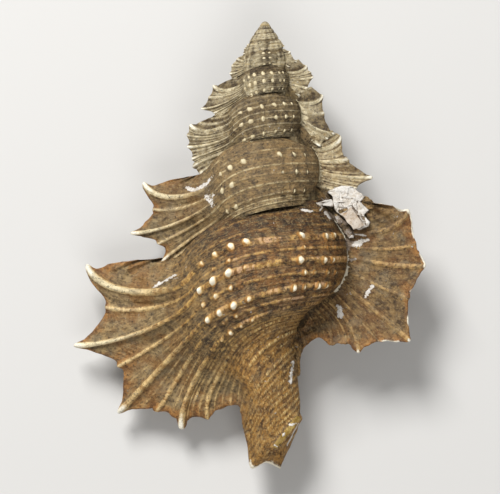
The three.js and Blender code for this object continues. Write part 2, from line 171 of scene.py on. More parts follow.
# The last cord of each half turn, how brown the band below its suture is, and how rich its back's colour.
LAST_CORDS = (16, 13, 9, 9, 10, 8, 9, 8)
STAINED = (0.9, 0.8, 0.2, 0.6, 0.4, 0.2, 0.2, 0)
RICH = (1, 0.9, 0.2, 0.5, 0.35, 0.3, 0.2)

# How golden each cord of the whorl is.
GOLD = (0.9, 0.35, 0.9, 0.7, 0.7, 0.6, 0.5, 0.5, 0.65, 0.75, 0.7, 0.6, 0.65, 0.7, 0.6, 0.5, 0.3)
OLD_GOLD = (0.2, 0.2, 0.6, 0.2, 0.9, 0.3, 0.6, 0.5, 0.4, 0.3, 0.3, 0.3, 0.3, 0.3, 0.3, 0.3, 0.3)
OLD_BEADED_SHARE = 0.35
THIN_CORDS = (2, 4)
THIN_CORD_SHARE = 0.36

# The fold beside the canal's end, as a stroke: x and y of both ends, half width and strength.
CANAL_FOLD = (4.3, -53.2, 1.5, -56.7, 0.42, 1.7)
CANAL_FOLD_RISE = 0.4

# The older wings' rims, from the last right-hand one up, right and left in turn: where each cord ends.
RIMS = [
    [],
    [
        (14.4, -24.5), (19.2, -25.2), (20.4, -29.7), (21.5, -32.8), (19.5, -37.4), (19.4, -42.9),
        (15.5, -43.2), (12.4, -44.5), (10.8, -43.7), (8.7, -43.7), (6.9, -42.9), (5.3, -44),
        (4.75, -45.5), (4.45, -47.6),
    ],
    [
        (-8.7, -20.9), (-16.4, -21.5), (-15.7, -25), (-18.2, -28.4), (-14.9, -30.1),
        (-13.9, -32.3), (-14.4, -34), (-14.8, -35.8), (-12.8, -36.4), (-10, -36.6),
    ],
    [(9.3, -14.9), (10.2, -15.3), (11.4, -18.3), (14.5, -20.9), (12.5, -22.6), (11.7, -23.9)],
    [
        (-7, -12.9), (-10.2, -13.6), (-10.8, -15.1), (-10.5, -16.8), (-10.1, -18.6), (-9.8, -19.6),
        (-9, -20.7),
    ],
    [(6.5, -8.9), (7.8, -9.9), (8.2, -12.2), (9.4, -15.1), (8.7, -15.9), (7.4, -16.9)],
    [(-4.6, -7.8), (-7, -8.5), (-7.9, -10), (-8.7, -11.7), (-7.1, -12.4), (-6.7, -13.2)],
    [(4.7, -5.2), (5.6, -5.9), (6.3, -6.7), (6.5, -7.5), (5.9, -9.1), (4.6, -10)],
    [(-3, -4.6), (-3.8, -4.8), (-4.7, -5.8), (-4.8, -7), (-4.6, -7.8)],
    [(2.7, -3.8), (3.4, -4), (3.9, -4.7), (4.3, -5.4), (3.4, -6.2)],
]
RIMS_BEYOND = 2

# Beads: the degrees round the whorl of each growth rib, and for each beaded cord their sizes there.
LAST_RIBS = (31, 40, 52, 60, 99, 110, 121, 131)
LAST_BEADS = {
    1: (0.62, 0.75, 0, 1, 0.95, 1, 0.6, 0.45),
    2: (0.24, 0.28, 0, 0.38, 0, 0.42, 0.22, 0),
    3: (0.62, 0.8, 0, 1, 0.4, 1.1, 1.1, 0.8),
    4: (0.36, 0.4, 0.36, 0.58, 0, 0.55, 0.6, 0.5),
    5: (0.6, 0.85, 0.5, 0.8, 0.6, 1, 0.9, 0.75),
    6: (0, 0, 0, 0, 0, 0.4, 0.25, 0),
    7: (0, 0, 0, 0, 0.4, 0.42, 0.6, 0.3),
}
WORN_RIBS = (41, 55, 70, 90, 106, 120, 131)
WORN_BEADS = {
    1: (0.6, 0.9, 1, 0.2, 1, 0.95, 0.6),
    3: (0.7, 0.9, 0.5, 0, 0.3, 0.9, 0.9),
    5: (0.6, 0.7, 0.4, 0, 0.4, 0.7, 0.6),
}
ROW_SHIFTS = {
    1: (0, 0, 0, 0, -2.5, -3.5, -3.5, -3.5),
    3: (5.5, 4.5, 3.5, 3.5, 0, 0, 0, 0),
    5: (7, 6.5, 7, 7, 0, 0, 0, 0),
}
OLDER_RIBS = (39, 54, 72, 90, 108, 123, 135)
OLDER_BEADS = {
    1: (0.7, 0.95, 1, 1, 1.05, 0.8, 0.6),
    2: (0.2, 0.3, 0.3, 0.3, 0.3, 0.3, 0.2),
    3: (0.7, 0.9, 0.95, 0.95, 1, 0.9, 0.6),
    5: (0.6, 0.7, 0.8, 0.8, 0.85, 0.8, 0.6),
}

# The spire's middle: half its width at each height, from the bottom to the apex.
SPIRE = [
    (0, -42), (5.6, -37.5), (7.9, -33), (8.2, -27), (7.3, -24), (6.4, -20), (5.2, -16), (3.9, -12),
    (3, -8), (2.75, -5.4), (2.4, -3.6), (1.93, -2.5), (1.3, -1.5), (0.8, -0.8), (0.52, -0.35), (0.3, -0.1),
    (0, 0),
]
SPIRE_DEPTH = 0.6
SPIRE_TOP_DEPTH = 0.5

# The mouth: its lip from edge to foot, and the hollow. Each ring is x, y, z, half width, half height and
# the degrees that it has turned about the spire's axis.
LIP_RINGS = [
    (-4.6, -40.6, -6.85, 3.9, 5.1, 0),
    (-4.6, -40.6, -6.2, 4.2, 5.5, 0),
    (-4.7, -40.6, -3.4, 4.7, 6.4, 0),
    (-4.8, -40.6, -1.2, 6.2, 8.2, 0),
    (-4.8, -40.6, -0.2, 6.2, 8.2, 0),
]
HOLLOW_RINGS = [
    (-4.6, -40.6, -7.5, 3.5, 4.8, 0),
    (-4.6, -40.6, -5.8, 3.1, 4.3, 0),
    (-4.8, -40.4, -2.5, 3, 4.2, 0),
    (-4.8, -39.8, 0.8, 2.9, 4, 12),
    (-3.6, -39, 3.6, 2.5, 3.6, 50),
    (-1.2, -38.2, 4.9, 2.1, 3.2, 85),
    (1.6, -37.4, 4.8, 1.6, 2.6, 105),
]
MOUTH_LEAN = 14

# The slit along the canal's front: x, y, z, half width and half depth.
SLIT_RINGS = [
    (-3.9, -43, -3.4, 1.1, 2.4),
    (-2.6, -47, -2.6, 0.7, 1.8),
    (-1, -51, -2.4, 0.6, 1.5),
    (0.1, -56, -2.2, 0.6, 1.3),
    (0.4, -60.5, -1.6, 0.6, 1.2),
]

# The white crust on the corner where the last right-hand wing meets the whorls: flat flakes, each with its
# outline, its middle, the height of its top there and its rise per millimetre to the right and up, and
# how chalky and how pinkish it is. The last one is brown shell.
CRUST_FLAKES = [
    ([
        (8.4, -22.9), (9.1, -22.5), (10.1, -22.1), (11.1, -22.1), (11.9, -22.3), (12.7, -23), (13.3, -23.5),
        (12.9, -24), (12.6, -24.3), (13.2, -24.8), (14, -25.2), (13.2, -25.9), (14.1, -27), (13.8, -27.5),
        (13.3, -27.7), (12.4, -27.9), (11.4, -27.2), (10.3, -26.1), (9.5, -25.7), (9.2, -24.6), (9.1, -23.6),
    ], (11, -24.5), (1.95, -0.06, 0.03), 1, 0),
    ([
        (6.3, -24.8), (7.9, -24.1), (8.9, -24), (9.6, -24.3), (9.6, -24.9), (8.9, -24.9), (7.9, -24.8),
    ], (8.6, -24.5), (2.05, -0.35, 0), 1, 0.15),
    ([
        (9.1, -25.55), (9.9, -26.03), (10.8, -27), (11.65, -28.05), (11.8, -29.15), (11.15, -29.2),
        (10.4, -28), (9.7, -27.1),
    ], (10.5, -27.3), (1.4, -0.25, 0), 0.5, 0.1),
    ([
        (12.6, -23.3), (13.3, -23.4), (13.8, -23.6), (14.35, -24), (14.6, -24.5), (14.4, -25.1),
        (13.2, -25.1), (12.7, -24.4),
    ], (13.5, -24.3), (1.6, 0, 0), 0, 0),
]
CRUST_LEVELS = [(0.02, 0), (0.35, 0), (0.7, 0), (0.96, -0.03), (1, -0.25), (1, -0.8), (1, -1.35)]
CRUST_FACETS = 60
CRUST_CRACKS = [
    (10.3, -23.7, 11.2, -23.9, 0.09, 0.8), (11.6, -23.8, 12.4, -24.3, 0.09, 0.8),
    (10.1, -22.9, 9.9, -24.3, 0.07, 0.5), (12.8, -25.9, 13.1, -26.6, 0.1, 0.8),
    (12.4, -26.1, 12.7, -26.7, 0.1, 0.8), (9.8, -25, 10.9, -25.1, 0.1, 0.8),
]

# Its loose plate: the x, y and z of the corners at the upper right, upper left, lower right and lower left.
CRUST_PLATE = ((11.5, -25, 2.15), (10.15, -26, 2.35), (13.3, -27.3, 2), (11.85, -28, 2.45))
PLATE_HALF = 0.18

# Brown places that the crust leaves bare, as strokes: x and y of both ends, half width and strength.
BARE_STROKES = [(10, -25.5, 10.9, -25.2, 0.26, 1), (13.2, -26.3, 13.4, -26.9, 0.1, 0.9)]

# Chalk on the shell, as strokes.
CHALK_STROKES = [
    (-10.5, -22.3, -9.6, -22.7, 0.26, 1.1), (-9.6, -22.7, -8.2, -22.1, 0.26, 1.1),
    (-8.2, -22.1, -6.9, -20.8, 0.14, 0.9), (-7.9, -23.4, -7, -24.6, 0.3, 0.9),
    (-8.2, -21.7, -6.8, -23.3, 0.2, 0.7), (-14.8, -35.6, -12, -34, 0.14, 1.1),
    (-13.2, -34.6, -11.4, -34.4, 0.1, 0.7), (7.8, -24.8, 7.3, -25.4, 0.13, 1.1),
    (4.7, -25.3, 6.3, -25.5, 0.16, 1.1), (8.1, -25.6, 9.5, -26.5, 0.26, 1.2),
    (11.3, -30, 12.8, -29.6, 0.42, 1.1), (12.6, -29.6, 13.9, -29.3, 0.2, 1), (11, -29.3, 11.2, -30.6, 0.3, 1),
    (11, -28.4, 13.4, -28.7, 0.16, 0.8), (11.3, -32, 12.2, -31.9, 0.16, 1),
    (13.3, -37, 14.4, -35.5, 0.2, 1.2), (9.8, -38.2, 10.2, -39.6, 0.35, 0.8),
    (3.7, -45.6, 3.4, -48.3, 0.25, 0.7), (3.3, -54, 4.1, -53.8, 0.13, 1), (2.4, -55.4, 2.6, -55.1, 0.17, 1),
    (1.3, -56.7, 1.6, -56.8, 0.15, 1), (4.45, -53.8, 3, -56.6, 0.08, 1.1),
]

# Dark soil on the shell's back, as strokes: those stronger than 1 are dark all over, and most of those are
# painted shadow, along the sutures and under the crust's loose plate.
SOIL_AND_SHADOW_STROKES = [
    (-6.2, -43.2, -6.3, -43.3, 2.3, 0.9), (-8.4, -44.9, -8.5, -45, 2, 0.6),
    (7.8, -39.6, 7.9, -39.7, 2.2, 0.85), (4.6, -42.6, 4.1, -46.4, 1.7, 0.95),
    (11.8, -33, 13.5, -31.5, 1.8, 0.15), (10.4, -36.2, 10.5, -36.3, 2, 0.4),
    (-5, -26.4, -5.1, -26.5, 1.4, 0.5), (-8, -31, -8.1, -31.1, 1.8, 0.4), (3.5, -24.5, 3.6, -24.6, 1.5, 0.6),
    (-3, -16, -3.1, -16.1, 1, 0.4), (10, -26.2, 11.7, -28.15, 0.13, 1.6), (9.2, -26.9, 9.4, -27.2, 0.4, 0.9),
    (3.9, -52.9, 1.1, -56.3, 0.14, 1.15), (-2.7, -26.1, 0.9, -25.35, 0.24, 1.3),
    (0.9, -25.35, 3.4, -25, 0.32, 1.4), (3.4, -25, 5.4, -24.7, 0.36, 1.4),
    (-1.9, -16.1, 0.2, -15.75, 0.22, 1.35), (0.2, -15.75, 2.6, -15.65, 0.22, 1.4),
    (-0.8, -9.85, 1.6, -9.65, 0.2, 1.4), (-1.2, -6.3, 0.2, -6, 0.16, 1.3), (0.2, -6, 1.4, -5.95, 0.16, 1.3),
]

# The photograph's frame, for the camera: its size in pixels, a pixel's size on the shell, the pixel of the
# apex, and how far above the wings' plane a pixel has that size.
FRAME_PIXELS = (500, 494)
PIXEL_SIZE = 0.1345
APEX_PIXEL = (265, 22)
SIGHT_LEVEL = -1.5

# The mesh: the lines between two cords of each half turn, the length of a line's steps, and the length of
# the last half turn's cords on the whorl and on the wing. The last steps, at the rim, are shorter.
LINES_SHARE = 1.0
LINES = (14, 13, 12, 11, 10, 9, 7)
FEWEST_LINES = 4
STEP_LENGTH = 0.26 / LINES_SHARE
BODY_LENGTH = 25
WING_LENGTH = 13
FEWEST_STEPS = (14, 9)
RIM_STEPS = (0.07, 0.045, 0.028, 0.015, 0.006, 0)
WING_GRAIN_LENGTH = 14  # of a wing's cords, as the noises along them count it
MOST_TRIANGLES = 190_000
SHARP_ANGLE = 55

# The marks: half the width of a worn seam, and the rays that look for cavities, how many and how long.
SEAM_HALF_WIDTH = 0.16
CAVITY_RAYS = 14
CAVITY_REACH = 2.2


def smooth_at(values, place):
    """The values at places between the listed ones, on a smooth curve through them."""
    values = np.asarray(values, float)
    last = len(values) - 1
    i = np.clip(np.floor(place).astype(int), 0, last - 1)
    f = place - i
    if values.ndim > 1:
        f = f[..., None]
    a, b, c, d = (values[np.clip(i + k, 0, last)] for k in (-1, 0, 1, 2))
    return b + 0.5 * f * (c - a + f * (2 * a - 5 * b + 4 * c - d + f * (3 * (b - c) + d - a)))


def ease(low, high, value):
    """A smooth step from 0 at the low value to 1 at the high one, or down where low is the greater."""
    f = np.clip((value - low) / (high - low), 0, 1)
    return f * f * (3 - 2 * f)


def hill(value):
    return np.exp(-value ** 2)


def lerp(low, high, share):
    return low + (high - low) * share


def lumps(points, size, seed):
    """Smooth noise from -1 to 1 at the points, with lumps of about that size."""
    table = np.random.default_rng(seed).uniform(-1, 1, (32, 32, 32))
    cell = np.floor(points / size).astype(int)
    f = points / size - cell
    f = f * f * (3 - 2 * f)
    total = np.zeros(points.shape[:-1])
    for corner in itertools.product((0, 1), repeat=3):
        weight = np.prod(np.where(corner, f, 1 - f), axis=-1)
        i, j, k = np.moveaxis((cell + corner) % 32, -1, 0)
        total += weight * table[i, j, k]
    return total


def shoves(points, size, seeds):
    """Smooth noise in as many directions as there are seeds."""
    return np.stack([lumps(points, size, seed) for seed in seeds], -1)


def size_of(n):
    return GROWTH ** n


def breadth_of(n):
    return size_of(n) ** BREADTH_POWER


def tips_of(n):
    """Where each cord of half turn n ends, as seen with its wing on the left."""
    listed = n if n < len(RIMS) else len(RIMS) - RIMS_BEYOND + (n - len(RIMS)) % RIMS_BEYOND
    tips = np.stack([TIP_X, TIP_Y], 1) * size_of(n)
    for i, (x, y) in enumerate(RIMS[listed]):
        tips[i] = np.array([-abs(x), y]) * size_of(n - listed)
    return tips


class Cord:
    """The cords of half turn n at places s, a column of numbers, with every measure in real size."""

    def __init__(self, n, s):
        girth = s if n < 2 else np.minimum(s, LAST_BODY_CORD)
        size, breadth = size_of(n), breadth_of(n)
        lowered = size * min(n, 4) / 4 * smooth_at(LOWERED, s) if n > 1 else 0
        self.start = (smooth_at(START_X, girth) * breadth, smooth_at(START_Y, s) * size - lowered)
        self.root = (smooth_at(ROOT_X, girth) * breadth, smooth_at(ROOT_Y, s) * size - lowered)
        self.tip = [smooth_at(axis, s) for axis in tips_of(n).T]
        self.rise = smooth_at(RISE, girth) * breadth
        self.turn = np.radians(smooth_at(TURN, s))
        self.drop = smooth_at(DROP, s)
        self.sag = smooth_at(SAG, s)
        self.canal = ease(*CANAL_CORDS, s)
        self.arc = 1 - np.cos(self.turn)
        self.across, self.down = (root - start for root, start in zip(self.root, self.start))
        self.chord = [tip - root for tip, root in zip(self.tip, self.root)]
        self.length = np.hypot(*self.chord)
        self.leaving = (self.across * self.turn * np.sin(self.turn) / self.arc, self.down * self.drop)
        self.lead = CORD_LEAD * self.length / np.hypot(*self.leaving)

    def place(self, t):
        """The places in the wings' plane: t is 0 at the start, 1 at the root and 2 at the tip."""
        on_body = np.minimum(t, 1)
        body = (
            self.start[0] + self.across * (1 - np.cos(self.turn * on_body)) / self.arc,
            self.start[1] + self.down * on_body ** self.drop,
        )
        bows = (self.sag * self.chord[1], -self.sag * self.chord[0])
        v = np.maximum(t - 1, 0)
        places = []
        for there, chord, leaving, bow in zip(body, self.chord, self.leaving, bows):
            first = leaving * self.lead
            last = first - 8 * bow
            bend = chord * v * v * (3 - 2 * v) + first * v * (1 - v) ** 2 + last * v * v * (v - 1)
            places.append(there + bend)
        return places

    def height(self, t):
        """How high the whorl stands above the wings' plane, before any ornament."""
        tube = self.rise * np.sin(np.pi * t / 2)
        root = self.rise * np.sin(self.turn)
        slope = self.rise * self.turn * np.cos(self.turn) * self.lead
        slope = np.maximum(slope * ROOT_SPREAD, -3 * root)
        v = np.clip((t - 1) / ROOT_SPREAD, 0, 1)
        foot = root * (1 - v * v * (3 - 2 * v)) + slope * v * (1 - v) ** 2
        body = np.where(t <= 1, self.rise * np.sin(self.turn * np.minimum(t, 1)), foot)
        return lerp(body, tube, self.canal)

    def flare(self, t):
        """How far a wing has bent towards its front."""
        v = np.maximum(t - 1, 0)
        return WING_FLARE * self.length * v * v * (1 - self.canal)


def beads_of(n):
    if n == 0:
        return LAST_RIBS, LAST_BEADS
    return (WORN_RIBS, WORN_BEADS) if n == 2 else (OLDER_RIBS, OLDER_BEADS)


def away_from(place, places, down):
    """How far down the sheet each point is from the line at that place."""
    k = np.clip(np.searchsorted(places, place) - 1, 0, len(places) - 2)
    share = (place - places[k]) / (places[k + 1] - places[k])
    return down - lerp(down[k], down[k + 1], share)


def bead_fields(n, places, down, t, along):
    """How much each place is on a bead, and on the white side of one, which faces the whorl's start."""
    field, white = np.zeros(down.shape), np.zeros(down.shape)
    if n >= NO_BEADS_FROM:
        return field, white
    degrees, rows = beads_of(n)
    scale = breadth_of(n) ** BEAD_POWER * (SMALL_BEADS[1] if n >= SMALL_BEADS[0] else 1)
    for row, sizes in rows.items():
        for k, share in enumerate(sizes):
            if share == 0:
                continue
            jitter = BEAD_JITTER * math.sin(12.9 * row + 7.3 * k + n)
            shift = ROW_SHIFTS[row][k] if n == 0 and row in ROW_SHIFTS else 0
            size = scale * share ** 0.5
            u = (t - (degrees[k] + shift) / BODY_TURN) * along / (BEAD_HALF[0] * size)
            v = away_from(row + jitter, places, down) / (BEAD_HALF[1] * size)
            dome = np.clip(1 - u * u - v * v, 0, 1) ** 0.8
            field = np.maximum(field, share ** 0.6 * dome)
            side = np.clip(1 - ((u + 0.2) / 0.85) ** 2 - (v / 0.9) ** 2, 0, 1)
            white = np.maximum(white, share ** 0.7 * side)
    return field, white


def growth_rib_field(n, s, t, along):
    """The low folds across the cords that the beads stand on."""
    degrees, _ = beads_of(n)
    folds = [hill((t - d / BODY_TURN) * along / GROWTH_RIB_HALF) for d in degrees]
    late = 0.35 + 0.65 * ease(0.55, 0.85, t)
    return np.maximum.reduce(folds) * late * ease(0.2, 0.8, s) * ease(8, 6, s)


def of_turn(values, n):
    """The value of half turn n, or the last one for those beyond the list."""
    return values[min(n, len(values) - 1)]


def ornament_cords(n):
    """The place of each cord and thread, its share on the whorl and on the wing, and its spacing."""
    cords = []
    last_cord = of_turn(LAST_CORDS, n)
    old = n >= OLD_WINGS_FROM
    for i in range(last_cord + 1):
        on_canal = CANAL_CORDS[0] < i < len(CORDS) - 1
        body_share = max(RIB[i], CANAL_CORD_SHARE) if on_canal else RIB[i]
        if n >= 2 and i in (1, 3, 5):
            body_share = OLD_BEADED_SHARE
        elif i in THIN_CORDS:
            body_share = THIN_CORD_SHARE
        count, share = THREADS[i] if i < len(THREADS) else (0, 0)
        if old and 0 < i < 5:
            count = OLD_THREADS
        if n >= LATTICE_FROM:
            share = max(share, 0.35)
        gap = 1 / (count + 1)
        cords.append((i, body_share, max(RIB[i], OLD_RIB_SHARE if old else 0), gap))
        if i < last_cord:
            wing_share = OLD_THREAD_SHARE if old else min(share, 0.2 if i < 2 else share)
            if n == 1:
                wing_share = max(share, RIGHT_THREAD_SHARE)
            cords += [(i + gap * (k + 1), share, wing_share, gap) for k in range(count)]
    return cords


def ridge_field(n, places, down, across, on_wing):
    """How much each place is on a cord, a rib or a thread: 1 is the middle of a full one."""
    small = breadth_of(n) ** 0.8
    widest = lerp(CORD_HALF_WIDTH, RIB_HALF_WIDTH, on_wing) * small * (RIGHT_RIB_WIDTH if n == 1 else 1)
    field = np.zeros(across.shape)
    for place, body_share, wing_share, gap in ornament_cords(n):
        share = lerp(body_share, wing_share, on_wing)
        half = lerp(THREAD_HALF_WIDTH * small, widest, ease(0.1, 0.9, share))
        half = np.minimum(half, 0.42 * gap * across)
        away = away_from(place, places, down) / half
        field = np.maximum(field, share * np.exp(-np.abs(away) ** 2.4))
    return field


def places_for(n):
    """The lines across the cords, close together on the cords and where threads are many."""
    last_cord = of_turn(LAST_CORDS, n)
    lines = max(int(of_turn(LINES, n) * LINES_SHARE), FEWEST_LINES)
    places = []
    for i in range(last_cord):
        many = n < 3 and THREADS[i][0] > 1
        u = np.linspace(0, 1, 2 * lines if many else lines, endpoint=False)
        places.append(i + u - (0 if many else 0.6) * np.sin(2 * np.pi * u) / (2 * np.pi))
    return np.concatenate([*places, [last_cord]])


def steps_for(n):
    """The lines along the cords, close together at the wing's rim."""
    body, wing = (
        max(int(length * size_of(n) / STEP_LENGTH), fewest)
        for length, fewest in zip((BODY_LENGTH, WING_LENGTH), FEWEST_STEPS)
    )
    rim = 2 - np.array(RIM_STEPS)
    return np.concatenate([np.linspace(0, 1, body + 1), np.linspace(1, rim[0], wing + 1)[1:-1], rim])


def grid_quads(index):
    """The quads between neighbouring rows and columns of point numbers."""
    return np.stack([index[:-1, :-1], index[:-1, 1:], index[1:, 1:], index[1:, :-1]], 2).reshape(-1, 4)


def sheet_faces(rows, columns):
    """The quads of a closed sheet: its back, its front and the wall between them, all the way round."""
    back = np.arange(rows * columns).reshape(rows, columns)
    front = back + rows * columns
    rims = np.array([
        np.concatenate([side[0], side[1:, -1], side[-1, -2::-1], side[-2::-1, 0]]) for side in (front, back)
    ])
    return np.concatenate([grid_quads(back), grid_quads(front.T), grid_quads(rims)]).tolist()


def unit_normals(points, places, steps):
    """The outward normals of the back of a sheet, and the lengths of one unit of t and of s."""
    by_s = np.gradient(points, places, axis=0)
    by_t = np.gradient(points, steps, axis=1)
    normals = np.cross(by_t, by_s)
    normals /= np.linalg.norm(normals, axis=2, keepdims=True) + 1e-9
    normals *= np.sign(normals[..., 2:3] + 1e-9)
    return normals, np.linalg.norm(by_t, axis=2), np.linalg.norm(by_s, axis=2)


def row_window(s, first, last):
    return ease(first - 0.5, first, s) * (1 - ease(last, last + 1.0, s))


def start_share(n):
    """How plain the worn white line is where half turn n starts: only the back shows one."""
    return {0: 1.0, 2: 0.6, 4: 0.5}.get(n, 0.0)


def stain_field(n, s, t):
    """The brown stain of the band below each suture."""
    band = ease(0.02, 0.12, t) * ease(1.05, 0.7, t)
    return of_turn(STAINED, n) * band * ease(1, 0.65, s)


def rich_field(n, s, t):
    """Where the whorl keeps its deep red-brown: the middle of its back, among the beaded cords."""
    round_whorl = ease(0.04, 0.16, t) * ease(0.95, 0.72, t)
    return of_turn(RICH, n) * round_whorl * ease(0.5, 1, s) * ease(8.5, 6.2, s)


def half_turn(n):
    """The points, quads and marks of half turn n, in the shell's frame."""
    places, steps = places_for(n), steps_for(n)
    s, step = places[:, None], steps[None, :]
    breadth = breadth_of(n)
    cord, first_cord = Cord(n, s), Cord(n, np.ones((1, 1)))
    rim_spacing = np.hypot(*(np.gradient(axis[:, 0], places) for axis in cord.tip))
    nearest = np.clip(np.round(places), 0, len(CORDS) - 1).astype(int)
    spine_half = SPINE_HALF_WIDTH * breadth ** 0.6
    spike = SPINE[nearest] * np.exp(-np.abs((places - nearest) * rim_spacing / spine_half) ** 2.2)
    rim = np.stack([*cord.tip, 0 * s], 2)
    wear = RIM_WEAR * np.abs(lumps(rim, 0.8, 60 + n)) * breadth ** 0.5 / cord.length
    retreat = FULL_WEB_RETREAT if n == 1 else WEB_RETREAT
    reach = 1 - (retreat * (1 - spike[:, None]) + wear) * (1 - cord.canal)
    t = np.where(step <= 1, step, 1 + (step - 1) * reach)
    x, y = cord.place(t)
    on_wing = ease(1, 1.5, t)
    whorl = cord.height(t)
    if n in DOMED:
        bent = DOME_BEND * ease(1, 0, s) * hill(t / DOME_LENGTH)
        x, y = (lerp(place, first, bent) for place, first in zip((x, y), first_cord.place(t)))
        whorl = lerp(whorl, first_cord.height(t), bent)
    sunk = SUTURE_DEPTH * breadth * (1 if n < 2 else OLD_SUTURE_SHARE)
    whorl = whorl - sunk * ease(0.55, 0, s) * ease(0.1, 0.4, t)
    dip = cord.flare(t) + TUCK * breadth * ease(1.2, 0.3, s) * ease(0.8, 1.1, t)
    middle = np.stack([x, y, whorl - dip], 2)
    normals, along, across = unit_normals(middle, places, steps)

    rim_away = cord.length * (2 - step) * reach
    from_start = np.hypot(x - cord.start[0], y - cord.start[1])
    half = lerp(WING_HALF, RIM_HALF, ease(1, 2, step)) * math.sqrt(breadth)
    web_edge, spine_edge = (
        np.sqrt(1 - (1 - np.clip(rim_away / width, 0, 1)) ** 2) for width in (0.3, 0.6 * breadth)
    )
    thick = np.maximum(half, THINNEST_HALF) * np.maximum(web_edge, 0.2)

    grown = ease(0, 0.12, t)
    strips = np.linalg.norm(np.diff(middle, axis=0), axis=2)
    down = np.concatenate([np.zeros((1, len(steps))), np.cumsum(strips, axis=0)])
    ridge = ridge_field(n, places, down, across, on_wing)
    bead, pearl = (field * grown for field in bead_fields(n, places, down, t, along))
    folds = growth_rib_field(n, s, t, along)
    worn = 1 + 0.12 * lumps(middle, 1.3, 5 + n)
    grit = float(n == 1) * ease(9, 11, s) * ease(0.9, 1.2, t) * spine_edge
    grit = grit * (0.36 * lumps(middle, 0.8, 90) + 0.22 * lumps(middle, 0.36, 91))
    if n >= LATTICE_FROM:
        ridge = np.maximum(ridge, LATTICE_SHARE * folds * (1 - on_wing))
    rib_height = ridge * breadth * grown * spine_edge * worn
    plainer = lerp(0.4, 0.85, ease(0.3, 1, t)) * float(n == 0) * ease(11.5, 14, s)
    back_rise = rib_height * lerp(CORD_RISE, RIB_RISE, on_wing) * (1 - plainer)
    back_rise += GROWTH_RIB_RISE * folds * breadth * grown + BEAD_RISE * bead * breadth ** 0.7 + grit
    if n == 0:
        back_rise += CANAL_FOLD_RISE * np.minimum(stroke_field(middle, [CANAL_FOLD]), 1)
    front_rise = rib_height * RIB_RISE * FRONT_RIB_SHARE * on_wing + grit
    ripples = np.sin(2 * np.pi * (t * RIPPLES + 0.5 * lumps(middle, 4.0, 70 + n)))
    pleats = np.sin(2 * np.pi * (t * PLEATS + 0.6 * lumps(middle, 2.5, 75 + n)))
    sway = SWAY * lumps(middle, 3.1, 40 + n) * ease(0.1, 0.4, t)
    sway = breadth * (sway + (RIPPLE_RISE * ripples + PLEAT_RISE * pleats * ease(1, 0.5, s)) * on_wing)
    swell = BODY_BELLY * ease(0, 0.5, t) * ease(1.15, 0.8, t)
    back = middle + normals * back_rise[..., None]
    back[..., 2] += thick + sway
    front = middle.copy()
    front[..., 2] = sway - thick - lerp(swell, CANAL_BELLY, cord.canal) * whorl - front_rise - dip
    turned = np.array([-1, 1, -1]) if n % 2 else np.ones(3)
    points = np.concatenate([back.reshape(-1, 3), front.reshape(-1, 3)]) * turned

    spine = np.clip(SPINE[nearest][:, None] * ridge / np.maximum(RIB[nearest][:, None], 0.05), 0, 1)
    white_rim = hill(rim_away / 0.4) * ease(-0.35, 0.1, lumps(middle, 1.9, 33)) * ease(8.5, 7.5, s)
    white_ends = np.maximum(
        hill(rim_away / 0.6) * ease(13.4, 13.9, s), hill(from_start / 0.17) * row_window(s, 14.4, 16),
    )
    marks = {
        "cord": s + SUTURE_LINES * np.clip(s, 0, 1),
        "grow": size_of(n) * (BODY_LENGTH * np.minimum(t, 1) + WING_GRAIN_LENGTH * np.maximum(t - 1, 0)),
        "ridge": ridge,
        "wing": on_wing * (1 - cord.canal),
        "rim": np.exp(-rim_away / (1.6 * breadth)) * on_wing * (1 - 0.6 * cord.canal),
        "tip": on_wing * np.maximum(
            spine * hill(rim_away / (TIP_LENGTHS.get(n, 3.2) * breadth)), white_rim * float(n == 1)),
        "pale": spine * hill(rim_away / (9 * breadth)) * on_wing * float(n != 1)
        * (1 - 0.75 * ease(3.2, 4.8, s) * float(n < 3)),
        "age": np.array(float(n)),
        "rich": rich_field(n, s, t),
        "canal": ease(7.5, 10.5, s) * float(n < 2),
        "gold": smooth_at(GOLD if n < 2 else OLD_GOLD, s),
        "stain": stain_field(n, s, t),
        "start": hill(t / 0.16) * start_share(n) * row_window(s, 0.7, 3.5 if n else 5.2),
        "edge": white_ends * float(n == 0),
    }
    marks = {name: np.tile(np.broadcast_to(value, t.shape).ravel(), 2) for name, value in marks.items()}
    for name, value in (("bead", bead), ("pearl", pearl)):
        marks[name] = np.concatenate([value.ravel(), np.zeros(value.size)])
    return points, sheet_faces(len(places), len(steps)), marks


def loft(rings):
    """The points and faces of a closed solid through rings with the same number of points."""
    index = np.arange(rings.shape[0] * rings.shape[1]).reshape(rings.shape[:2])
    sides = grid_quads(np.column_stack([index, index[:, :1]])).tolist()
    return rings.reshape(-1, 3), [*sides, index[0, ::-1].tolist(), index[-1].tolist()]


def finer(rings, lines):
    """More rings between the listed ones, on smooth curves."""
    return smooth_at(rings, np.linspace(0, len(rings) - 1, (len(rings) - 1) * lines + 1))


def angles(sides):
    return np.linspace(0, 2 * np.pi, sides, endpoint=False)


def mouth_rings(rings, lines, sides):
    """Rings of the lip or the hollow: leaning ellipses that the ground's slope cuts level."""
    x, y, z, half_width, half_height, turned = finer(rings, lines).T[..., None]
    lean, turn = math.radians(MOUTH_LEAN), np.radians(turned)
    wide, high = half_width * np.cos(angles(sides)), half_height * np.sin(angles(sides))
    across = wide * math.cos(lean) - high * math.sin(lean)
    up = wide * math.sin(lean) + high * math.cos(lean)
    sloped = z - up * math.tan(math.radians(REST_PITCH))
    return np.stack([x + across * np.cos(turn), y + up, sloped - across * np.sin(turn)], 2)


def slit_rings(lines, sides):
    x, y, z, half_width, half_depth = finer(SLIT_RINGS, lines).T[..., None]
    wide, deep = half_width * np.cos(angles(sides)), half_depth * np.sin(angles(sides))
    return np.stack([x + wide, y + 0 * wide, z + deep], 2)


